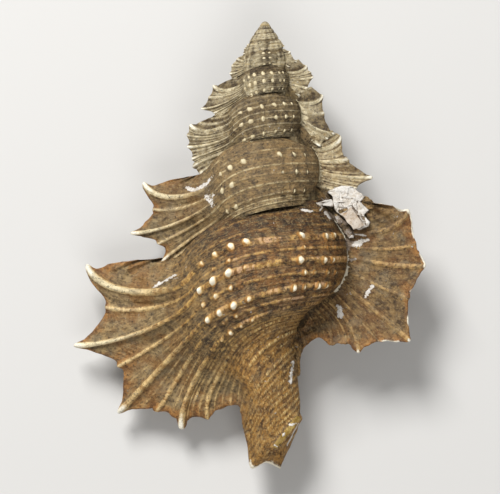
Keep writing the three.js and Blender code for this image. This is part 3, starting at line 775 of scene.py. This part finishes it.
def lattice(angle, y):
    """The smallest whorls' lattice: how far round and up each place is between its cords and folds."""
    whorl = np.log(np.maximum(-y, 0.05) / 0.7) / math.log(1 / GROWTH ** 2) + angle / (2 * np.pi)
    groove = hill((whorl % 1 - 0.5) / 0.09)
    net = 0.5 + 0.25 * np.cos(2 * np.pi * 4 * whorl) + 0.25 * np.cos(15 * angle)
    return net, groove


def spire_rings(sides):
    """The spire's rings, and how much each of their points is on the lattice's ridges."""
    angle = angles(sides)
    half, y = finer(SPIRE, 12).T[..., None]
    half = np.maximum(half, 0.01)
    net, groove = lattice(angle, y)
    shown = ease(-9, -6, y) * ease(0, 0.6, half)
    wide = half + shown * (0.06 * net - 0.1 * groove) * np.minimum(half, 1.6)
    depth = wide * lerp(SPIRE_TOP_DEPTH, SPIRE_DEPTH, ease(-2, -9, y))
    rings = np.stack([wide * np.cos(angle), y + 0 * wide, -depth * np.sin(angle)], 2)
    return rings, (np.clip(net - groove, 0, 1) * shown).ravel()


def facets(points, centre):
    """Heights of flat facets with steps between them, as broken plaster has."""
    rng = np.random.default_rng(17)
    sites = centre + rng.uniform(-3.5, 3.5, (CRUST_FACETS, 2))
    heights = rng.uniform(-0.1, 0.1, CRUST_FACETS)
    tilts = rng.uniform(-0.12, 0.12, (CRUST_FACETS, 2))
    bent = points[..., :2] + 0.15 * shoves(points, 0.7, (21, 22))
    away = bent[..., None, :] - sites
    near = np.argmin((away ** 2).sum(-1), axis=-1)
    offset = np.take_along_axis(away, near[..., None, None], axis=-2)[..., 0, :]
    return heights[near] + (offset * tilts[near]).sum(-1)


def crust_rings(outline, centre, top, sides):
    """A flake's rings: a flat, cracked top with a ragged edge and steep walls."""
    corners = np.array(outline + outline[:1])
    place = np.linspace(0, len(outline), sides, endpoint=False)
    edge = np.stack([np.interp(place, np.arange(len(corners)), corners[:, axis]) for axis in (0, 1)], 1)
    levels = finer(CRUST_LEVELS, 12)
    spread = (edge - centre) * np.minimum(levels[:, 0], 1.0)[:, None, None]
    seen = np.dstack([centre + spread, np.zeros(spread.shape[:2])])
    spread = spread + 0.14 * shoves(seen, 0.6, (8, 9)) * levels[:, :1, None]
    height, right, up = top
    top_height = height + right * spread[..., 0] + up * spread[..., 1]
    rings = np.dstack([centre + spread, top_height + levels[:, 1:]])
    rough = facets(rings, centre) + 0.05 * lumps(rings, 1.5, 3) + 0.04 * lumps(rings, 0.3, 4)
    rings[..., 2] += (rough - 0.2 * stroke_field(rings, CRUST_CRACKS)) * ease(0, 1.2, rings[..., 2])
    return rings


def plate(corners, seed):
    """A thin broken plate between four corners."""
    count = 18
    down = np.linspace(0, 1, count)[:, None, None]
    left = np.linspace(0, 1, count)[None, :, None]
    upper_right, upper_left, lower_right, lower_left = (np.array(c) for c in corners)
    middle = lerp(lerp(upper_right, upper_left, left), lerp(lower_right, lower_left, left), down)
    middle += 0.16 * shoves(middle, 0.6, range(seed, seed + 3)) * (1, 1, 0.35)
    edge = np.minimum(np.minimum(down, 1 - down), np.minimum(left, 1 - left))[..., 0]
    half = PLATE_HALF * (0.6 + 0.4 * ease(0, 0.12, edge))
    back, front = middle.copy(), middle.copy()
    back[..., 2] += half
    front[..., 2] -= half
    return np.concatenate([back.reshape(-1, 3), front.reshape(-1, 3)]), sheet_faces(count, count)


REST = Matrix.Translation(APEX_PLACE) @ Matrix.Rotation(math.radians(REST_PITCH), 4, "X")


def placed(points):
    """Points of the shell's frame in the part's frame, still in millimetres."""
    turn = np.array(REST.to_3x3())
    return points @ turn.T + np.array(APEX_PLACE)


def add_object(name, data):
    obj = bpy.data.objects.new(name, data)
    bpy.context.scene.collection.objects.link(obj)
    return obj


def mesh_object(name, points, faces):
    mesh = bpy.data.meshes.new(name)
    mesh.from_pydata(points.tolist(), [], faces)
    return add_object(name, mesh)


class Growth:
    """Collects the shell's overlapping solids and the marks of their points."""

    def __init__(self):
        self.objects = []
        self.points = []
        self.marks = []

    def add(self, name, points, faces, marks):
        points = placed(points)
        self.marks.append({"part": float(len(self.objects)), **marks})
        self.points.append(points)
        self.objects.append(mesh_object(name, points, faces))


def boolean(target, operation, tool):
    """Adds a Boolean to the target, with an object or a collection as its tool."""
    modifier = target.modifiers.new(operation.lower(), "BOOLEAN")
    modifier.solver = "MANIFOLD"
    modifier.operation = operation
    if isinstance(tool, bpy.types.Collection):
        modifier.operand_type = "COLLECTION"
        modifier.collection = tool
    else:
        modifier.object = tool


def edge_ends(mesh):
    ends = np.zeros(len(mesh.edges) * 2, np.int32)
    mesh.edges.foreach_get("vertices", ends)
    return ends.reshape(-1, 2).T


def largest_part(mesh):
    """Deletes every loose part but the largest: the rest are pockets between the whorls."""
    one, two = edge_ends(mesh)
    label, new = None, np.arange(len(mesh.vertices))
    while not np.array_equal(new, label):
        label = new
        low = np.minimum(label[one], label[two])
        new = label.copy()
        np.minimum.at(new, one, low)
        np.minimum.at(new, two, low)
        np.minimum.at(new, label, new)
        new = new[new]
    names, sizes = np.unique(label, return_counts=True)
    spare = np.flatnonzero(label != names[np.argmax(sizes)])
    if len(spare):
        work = bmesh.new()
        work.from_mesh(mesh)
        work.verts.ensure_lookup_table()
        bmesh.ops.delete(work, geom=[work.verts[i] for i in spare], context="VERTS")
        work.to_mesh(mesh)
        work.free()


def apply_modifiers(obj):
    graph = bpy.context.evaluated_depsgraph_get()
    mesh = bpy.data.meshes.new_from_object(obj.evaluated_get(graph))
    obj.modifiers.clear()
    obj.data = mesh
    return mesh


def vertex_array(mesh, what="co"):
    values = np.zeros(len(mesh.vertices) * 3)
    mesh.vertices.foreach_get(what, values)
    return values.reshape(-1, 3)


def thin_out(obj, most_triangles):
    """Takes the flattest edges away until that many triangles are left."""
    triangles = sum(len(p.vertices) - 2 for p in obj.data.polygons)
    if triangles > most_triangles:
        modifier = obj.modifiers.new("thin_out", "DECIMATE")
        modifier.ratio = most_triangles / triangles
        apply_modifiers(obj)


def build_shell():
    """The shell as one closed mesh, and the points and marks that it was made from."""
    growth = Growth()
    for n in range(HALF_TURNS):
        growth.add(f"half_turn_{n}", *half_turn(n))
    rings, net = spire_rings(180)
    points, faces = loft(rings)
    marks = {"cord": 20.0, "grow": points[:, 1], "age": 8.0, "ridge": 0.15 + 0.4 * net}
    growth.add("spire", points, faces, marks)
    points, faces = loft(mouth_rings(LIP_RINGS, 8, 120))
    growth.add("lip", points, faces, {"lip": ease(-1.5, -4.5, points[:, 2])})
    for k, (outline, centre, top, chalky, pinkish) in enumerate(CRUST_FLAKES):
        rings = crust_rings(outline, np.array(centre), top, 180 if k == 0 else 90)
        growth.add(f"crust_{k}", *loft(rings), {"chalk": chalky, "pink": pinkish})
    growth.add("crust_plate", *plate(CRUST_PLATE, 30), {"chalk": 1.0, "pink": 1.0})
    cutters = Growth()
    cutters.add("hollow", *loft(mouth_rings(HOLLOW_RINGS, 8, 120)), {"lip": 1.0})
    cutters.add("slit", *loft(slit_rings(8, 40)), {"lip": 0.6})
    floor = [(-60, -60), (60, -60), (60, 60), (-60, 60)]
    ground = mesh_object("ground", *loft(np.array([[(x, y, z) for x, y in floor] for z in (-9.0, 0.0)])))

    shell, others = growth.objects[0], growth.objects[1:]
    tools = bpy.data.collections.new("shell_parts")
    bpy.context.scene.collection.children.link(tools)
    for obj in others:
        tools.objects.link(obj)
    boolean(shell, "UNION", tools)
    for cutter in (*cutters.objects, ground):
        boolean(shell, "DIFFERENCE", cutter)
    mesh = apply_modifiers(shell)
    for obj in (*others, *cutters.objects, ground):
        bpy.data.objects.remove(obj)
    bpy.data.collections.remove(tools)
    largest_part(mesh)
    thin_out(shell, MOST_TRIANGLES)

    points, marks = growth.points + cutters.points, growth.marks + cutters.marks
    known = {}
    for name in sorted({name for part in marks for name in part}):
        values = [np.broadcast_to(part.get(name, 0.0), len(p)) for part, p in zip(marks, points)]
        known[name] = np.concatenate(values)
    return shell, np.concatenate(points), known


def tree_of(points):
    tree = KDTree(len(points))
    for i, point in enumerate(points.tolist()):
        tree.insert(point, i)
    tree.balance()
    return tree


def known_marks_at(points, known_points, known_marks):
    """The marks at the points, from the nearest known points of the same part."""
    tree = tree_of(known_points)
    found = [tree.find_n(p, 4) for p in points.tolist()]
    index = np.array([[hit[1] for hit in hits] for hits in found])
    away = np.array([[hit[2] for hit in hits] for hits in found])
    part = known_marks["part"][index]
    weight = (part == part[:, :1]) / (away ** 2 + 1e-6)
    weight /= weight.sum(1, keepdims=True)
    return {name: (values[index] * weight).sum(1) for name, values in known_marks.items()}


def cavity_field(mesh, points, normals):
    """The share of the sky that each point can't see within a short reach: where the colour takes dirt and
    painted shade.
    """
    tree = BVHTree.FromPolygons(points.tolist(), [tuple(p.vertices) for p in mesh.polygons])
    ball = np.random.default_rng(11).normal(size=(CAVITY_RAYS, 3))
    ball /= np.linalg.norm(ball, axis=1, keepdims=True)
    starts = (points + normals * 0.03).tolist()
    blocked = np.zeros(len(points))
    for direction in ball:
        rays = (normals + 0.98 * direction).tolist()
        blocked += [tree.ray_cast(p, r, CAVITY_REACH)[0] is not None for p, r in zip(starts, rays)]
    return blocked / CAVITY_RAYS


def seam_field(mesh, points, part, start, age):
    """A thin line along the edge where a whorl starts out of the wing before it."""
    one, two = edge_ends(mesh)
    crossing = (np.round(part[one]) != np.round(part[two])) & (np.maximum(start[one], start[two]) > 0.3)
    tree = tree_of(points[np.unique([one[crossing], two[crossing]])])
    away = np.array([tree.find(p)[2] for p in points.tolist()])
    return hill(away / (SEAM_HALF_WIDTH * size_of(age)))


def stroke_field(shell_points, strokes):
    """How much each place on the back lies under one of the strokes."""
    field = np.zeros(shell_points.shape[:-1])
    flat = shell_points[..., :2]
    for x0, y0, x1, y1, half, strength in strokes:
        start, chord = np.array([x0, y0]), np.array([x1 - x0, y1 - y0])
        share = np.clip((flat - start) @ chord / (chord @ chord), 0, 1)
        away = np.linalg.norm(flat - start - share[..., None] * chord, axis=-1)
        field = np.maximum(field, strength * hill(away / half))
    return field


def mark_surface(mesh, known_points, known_marks):
    """Stores on the mesh, still in millimetres, what its material needs to know of each place."""
    points, normals = vertex_array(mesh), vertex_array(mesh, "normal")
    marks = known_marks_at(points, known_points, known_marks)
    in_shell = (points - np.array(APEX_PLACE)) @ np.array(REST.to_3x3())
    upward = ease(-0.1, 0.3, normals[:, 2])
    marks["cavity"] = cavity_field(mesh, points, normals)
    seam = seam_field(mesh, points, marks["part"], marks["start"], marks["age"])
    endward = ease(0.3, 0.7, -normals[:, 1])
    marks["seam"] = np.maximum(seam * upward, marks["edge"] * np.maximum(upward, endward))
    marks["chalk"] *= 1 - stroke_field(in_shell, BARE_STROKES)
    marks["chalk"] = np.maximum(marks["chalk"], stroke_field(in_shell, CHALK_STROKES) * upward)
    marks["fold"] = stroke_field(in_shell, [CANAL_FOLD]) * upward
    # Soil, and painted shadow along the sutures and under the crust's loose plate.
    marks["soil"] = stroke_field(in_shell, SOIL_AND_SHADOW_STROKES) * upward
    for spare in ("part", "start", "edge"):
        del marks[spare]
    for name, values in marks.items():
        layer = mesh.attributes.new(name, "FLOAT", "POINT")
        layer.data.foreach_set("value", values.astype(np.float32))


def linear(code):
    """A colour from its six hexadecimal digits, as light."""
    shares = [int(code[i:i + 2], 16) / 255 for i in (0, 2, 4)]
    return (*(c / 12.92 if c <= 0.04045 else ((c + 0.055) / 1.055) ** 2.4 for c in shares), 1.0)


class Value:
    """A number of the surface that its shader works out, with plain arithmetic on it."""

    def __init__(self, shade, socket):
        self.shade = shade
        self.socket = socket

    def __add__(self, other):
        return self.shade.maths("ADD", self, other)

    def __sub__(self, other):
        return self.shade.maths("SUBTRACT", self, other)

    def __rsub__(self, other):
        return self.shade.maths("SUBTRACT", other, self)

    def __mul__(self, other):
        return self.shade.maths("MULTIPLY", self, other)


class Shade:
    """Short names for the shader nodes that a surface is mixed from."""

    def __init__(self, name):
        self.material = bpy.data.materials.new(name)
        self.material.use_nodes = True
        self.surface = self.material.node_tree.nodes["Principled BSDF"]
        where = self.node("TexCoord", "Object")
        self.millimetres = self.node("VectorMath", 0, {0: where, "Scale": 1 / MM}, operation="SCALE")

    def node(self, kind, output, inputs=(), **settings):
        """Adds a node with these inputs and settings, and gives the value of one of its outputs."""
        node = self.material.node_tree.nodes.new("ShaderNode" + kind)
        for name, value in settings.items():
            setattr(node, name, value)
        for key, value in dict(inputs).items():
            self.put(node.inputs[key], value)
        return Value(self, node.outputs[output])

    def put(self, socket, value):
        if isinstance(value, Value):
            self.material.node_tree.links.new(value.socket, socket)
        else:
            socket.default_value = linear(value) if isinstance(value, str) else value

    def mark(self, name):
        return self.node("Attribute", "Fac", attribute_name=name)

    def maths(self, operation, *values):
        return self.node("Math", 0, enumerate(values), operation=operation)

    def step(self, value, low, high):
        inputs = {"Value": value, "From Min": low, "From Max": high}
        return self.node("MapRange", "Result", inputs, interpolation_type="SMOOTHSTEP")

    def place(self, x, y, z):
        return self.node("CombineXYZ", 0, enumerate((x, y, z)))

    def noise(self, where, scale, detail, roughness):
        inputs = {"Vector": where, "Scale": scale, "Detail": detail, "Roughness": roughness}
        return self.node("TexNoise", "Fac", inputs)

    def mix(self, low, high, share, blend_type="MIX"):
        inputs = {"Factor": share, "A": low, "B": high}
        return self.node("Mix", "Result", inputs, data_type="RGBA", blend_type=blend_type)


def shell_material():
    """The shell's lime: brown whorls with golden cords and cream beads, taupe webs, dirt, painted shade in
    the hollows and along the sutures, and chalk.
    """
    sh = Shade("shell_lime")
    mix, step = sh.mix, sh.step
    cord, grow, ridge, wing, rim, tip, pale, age, bead, pearl = map(
        sh.mark, "cord grow ridge wing rim tip pale age bead pearl".split())
    rich, canal, golden, stain, chalk, pink, lip, cavity, seam, soil, fold = map(
        sh.mark, "rich canal gold stain chalk pink lip cavity seam soil fold".split())
    blotch = sh.noise(sh.millimetres, 0.3, 4, 0.55)
    film = sh.noise(sh.millimetres, 0.55, 5, 0.65)
    mottle = sh.noise(sh.millimetres, 1.0, 4, 0.6)
    grain = sh.noise(sh.millimetres, 3.2, 3, 0.65)
    along = sh.place(cord * 6.0, grow * 0.5, age * 5.0)
    striae = sh.noise(along, 1.0, 3, 0.6)
    hairs = sh.noise(along, 2.9, 2, 0.6)
    bars = sh.noise(sh.place(cord * 1.1, grow * 2.1, age * 7.0), 1.0, 2, 0.6)
    runs = sh.noise(sh.place(cord, grow * 0.3, age * 3.0), 1.0, 2, 0.5)
    uneven, gritty = mottle - 0.5, grain - 0.5
    older = step(age, 0.5, 2.0)

    def blend(first, share, second):
        return first * share + second * (1 - share)

    def tones(low, high, first, share, second, start, end):
        """Two colours, mottled by a blend of two noises."""
        return mix(low, high, step(blend(first, share, second), start, end))

    # The whorls, their golden cords and the canal's pale dashes.
    dull = tones("33241a", "8e7044", striae, 0.42, mottle, 0.38, 0.6)
    deep = tones("2e1c0d", "82592d", striae, 0.45, mottle, 0.38, 0.62)
    body = mix(dull, deep, rich * step(blotch, 0.3, 0.5))
    body = mix(body, tones("54371a", "a97c3c", striae, 0.6, mottle, 0.38, 0.62), canal)
    body = mix(body, "a8926c", step(age, 1.2, 2.0) * 0.2)
    gold = tones("80582a", "cba25c", bars, 0.6, mottle, 0.4, 0.62)
    gold = mix(gold, "cfa683", rich * step(blend(runs, 0.5, bars), 0.52, 0.62) * 0.75)
    gold = mix(gold, tones("86704a", "c9b68a", bars, 0.5, mottle, 0.4, 0.6), older)
    kept = step(runs + golden * 0.35 + uneven * 0.8, 0.54, 0.78)
    left = canal * step(grow, 12.0, 28.0)
    on_cord = step(ridge, 0.1, 0.42) * kept * (1 - left * 0.6)
    body = mix(body, gold, on_cord)
    dash = canal * step(ridge, 0.2, 0.4) * step(bars, 0.53, 0.58) * (1 - left * 0.7)
    body = mix(body, "e4cb90", dash * 0.75)

    # The webs and their ribs, which are worn off in places on the last right-hand wing.
    web = tones("58462e", "9a8259", mottle, 0.6, striae, 0.36, 0.62)
    web = mix(web, "80582a", step(blotch, 0.42, 0.62) * 0.7)
    rib = tones("9a7340", "d9ba80", bars, 0.5, mottle, 0.36, 0.6)
    rib = mix(rib, "e2d2aa", step(pale, 0.1, 0.8))
    first_right = 1 - step(sh.maths("ABSOLUTE", age - 1.0), 0.2, 0.5)
    worn_off = first_right * (1 - step(blend(runs, 0.7, mottle), 0.46, 0.56)) * 0.85
    web = mix(web, rib, step(ridge + uneven * 0.3, 0.1, 0.42) * (1 - worn_off))
    web = mix(web, "d6c4a6", first_right * 0.85, "MULTIPLY")
    colour = mix(body, web, step(wing, 0.1, 0.9))

    # The bare lime of the oldest wings and whorls.
    groove = mix("392c1c", "706042", step(mottle, 0.35, 0.65))
    crest = tones("928566", "d2c6a6", bars, 0.5, grain, 0.38, 0.6)
    old = mix(groove, crest, step(ridge + uneven * 0.6, 0.08, 0.55))
    colour = mix(colour, old, step(age + wing * 0.8, 0.9, 5.0) * 0.9)

    # The wings' warm rims and white tips.
    warm = rim * (1 - step(ridge, 0.2, 0.6)) * (1 - step(age, 1.5, 3.5))
    warm = step(warm + (blotch - 0.5) * 1.6, 0.25, 0.95)
    colour = mix(colour, mix("64401e", "a5743c", step(mottle, 0.35, 0.65)), warm)
    tipped = step(tip + uneven * 0.6, 0.4, 0.85)
    colour = mix(colour, "efe8d4", tipped)

    # The stain below the sutures, and the fold beside the canal's end.
    stained = stain * step(blend(blotch, 0.5, striae), 0.3, 0.5) * (1 - on_cord)
    colour = mix(colour, tones("664826", "b4945e", striae, 0.5, grain, 0.42, 0.58), stained, "MULTIPLY")
    folded = step(fold + uneven * 0.4, 0.6, 0.9)
    colour = mix(colour, mix("93742f", "b89c58", step(mottle, 0.4, 0.6)), folded)

    # The film of dust, dirt and painted shade in the hollows, soil and painted shadow along the sutures,
    # specks, grains of dust, scratches and pale threads.
    clean = (1 - step(bead, 0.1, 0.3)) * (1 - lip)
    colour = mix(colour, "82745a", step(film, 0.5, 0.62) * clean * (wing * 0.18 + 0.22))
    dark = mix("1c150c", "4a3d28", grain)
    # Dirt and painted shade: darker where the sky is hidden, in the hollows and creases.
    dirt_and_shade = step(cavity + gritty * 0.9, 0.36, 0.85)
    colour = mix(colour, dark, dirt_and_shade * 0.85)
    # Speckled soil, and where the strokes are stronger than 1 a solid dark painted shadow along the sutures
    # and under the crust's loose plate.
    soil_and_shadow_cover = soil * step(blend(grain, 0.5, hairs), 0.44, 0.56) * 0.8
    soil_and_shadow_cover = sh.maths("MAXIMUM", soil_and_shadow_cover, step(soil, 1.0, 1.2))
    colour = mix(colour, dark, sh.maths("MINIMUM", soil_and_shadow_cover, 1.0))
    for tone, places, share in (
        ("2a1f12", step(grain, 0.575, 0.65) * (1 - tipped * 0.7), 0.75),
        ("ab925f", step(1 - grain, 0.56, 0.64) * (1 - tipped), 0.35),
        ("33261a", step(hairs, 0.57, 0.66) * (1 - tipped), 0.5),
        ("b29a66", step(1 - hairs, 0.58, 0.66) * (1 - wing), 0.45),
    ):
        colour = mix(colour, tone, places * clean * share)

    # The beads in their brown rings, and the worn white seams.
    colour = mix(colour, "b07c3c", step(bead, 0.05, 0.35) * (1 - step(age, 0.2, 1.5)) * 0.75)
    white = step(pearl + uneven * 0.4, 0.12, 0.45)
    lime = mix("dcbd84", "f3ead2", step(pearl, 0.3, 0.7))
    old_lime = mix("a8946c", "d9cca8", step(pearl + grain * 0.4, 0.45, 0.95))
    colour = mix(colour, mix(lime, old_lime, older), white)
    worn = step(seam + uneven * 1.5 + gritty * 0.8, 0.42, 0.7)
    colour = mix(colour, mix("ece3cd", "cdbf9c", older), worn)

    # The crust and the chalk, and the lip's enamel.
    chalky = step(chalk + gritty * 1.4 + uneven * 1.6, 0.4, 0.52)
    crust = tones("c6bcae", "ddd8d0", mottle, 0.5, grain, 0.42, 0.55)
    crust = mix(crust, tones("a88f74", "cbbfb0", blotch, 0.6, mottle, 0.4, 0.54), pink)
    # Painted shade: the crust darker in its hollows and under its loose plate, where the sky is hidden.
    crust = mix(crust, "6f5c48", step(cavity + grain * 0.5, 0.45, 0.8) * 0.9)
    crust = mix(crust, "8a7760", step(grain, 0.6, 0.66) * 0.7)
    colour = mix(colour, crust, chalky)
    enamel = mix("c98f5a", "eee3cd", step(lip + mottle * 0.3, 0.6, 1.1))
    colour = mix(colour, enamel, step(lip, 0.25, 0.6))

    # The gloss and the finest relief.
    rough = grain * 0.4 + 0.4 + chalky * 0.25 + dirt_and_shade * 0.2
    rough -= white * 0.2 + step(lip, 0.3, 0.7) * 0.25 + tip * 0.1
    height = grain * 0.8 + striae * 0.5 * (1 - wing) + hairs * 0.35 + bars * 0.4 + chalky * 0.3
    height *= 1 - sh.maths("MAXIMUM", step(lip, 0.2, 0.6) * 0.85, white * 0.8)
    normal = sh.node("Bump", 0, {"Distance": 0.2 * MM, "Strength": 1.0, "Height": height})
    for name, value in (
        ("Base Color", colour), ("Roughness", rough), ("Normal", normal), ("Specular IOR Level", 0.35),
    ):
        sh.put(sh.surface.inputs[name], value)
    return sh.material


shell, known_points, known_marks = build_shell()
shell.name = "shell_surface"
mark_surface(shell.data, known_points, known_marks)
shell.data.transform(Matrix.Scale(MM, 4))
shell.data.shade_smooth()
shell.data.set_sharp_from_angle(angle=math.radians(SHARP_ANGLE))
shell.data.materials.clear()
shell.data.materials.append(shell_material())

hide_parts("shell")
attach(shell, "root")


def stage():
    floor = mesh_object("floor", np.array([(-1, -1, 0), (1, -1, 0), (1, 1, 0), (-1, 1, 0)]), [(0, 1, 2, 3)])
    paper = bpy.data.materials.new("paper")
    paper.use_nodes = True
    surface = paper.node_tree.nodes["Principled BSDF"]
    surface.inputs["Base Color"].default_value = (0.6, 0.59, 0.57, 1)
    surface.inputs["Roughness"].default_value = 0.9
    floor.data.materials.append(paper)


def lights():
    for name, place, power, size in (
        ("key", (-0.16, 0.32, 0.38), 3.5, 0.2),
        ("fill", (0.05, -0.36, 0.42), 1.3, 0.4),
    ):
        lamp = bpy.data.lights.new(name, "AREA")
        lamp.energy = power
        lamp.size = size
        obj = add_object(name, lamp)
        obj.location = place
        obj.rotation_euler = (-Vector(place)).to_track_quat("-Z", "Y").to_euler()
    world = bpy.data.worlds.new("studio")
    world.use_nodes = True
    sky = world.node_tree.nodes["Background"]
    sky.inputs["Color"].default_value = (1, 1, 1, 1)
    sky.inputs["Strength"].default_value = 0.2
    bpy.context.scene.world = world


def camera():
    """Looks square at the wings' plane, from far off, with the photograph's frame."""
    distance = 0.5
    x = (FRAME_PIXELS[0] / 2 - APEX_PIXEL[0]) * PIXEL_SIZE
    y = (APEX_PIXEL[1] - FRAME_PIXELS[1] / 2) * PIXEL_SIZE
    data = bpy.data.cameras.new("camera")
    data.sensor_width = 36
    data.lens = data.sensor_width * distance / (FRAME_PIXELS[0] * PIXEL_SIZE * MM)
    obj = add_object("camera", data)
    turn = Matrix.Rotation(math.radians(REST_PITCH), 4, "X")
    aim = Matrix.Scale(MM, 4) @ REST @ Vector((x, y, SIGHT_LEVEL))
    obj.matrix_world = Matrix.Translation(aim) @ turn @ Matrix.Translation((0, 0, distance))
    bpy.context.scene.camera = obj


stage()
lights()
camera()
bpy.context.scene.view_settings.view_transform = "Standard"
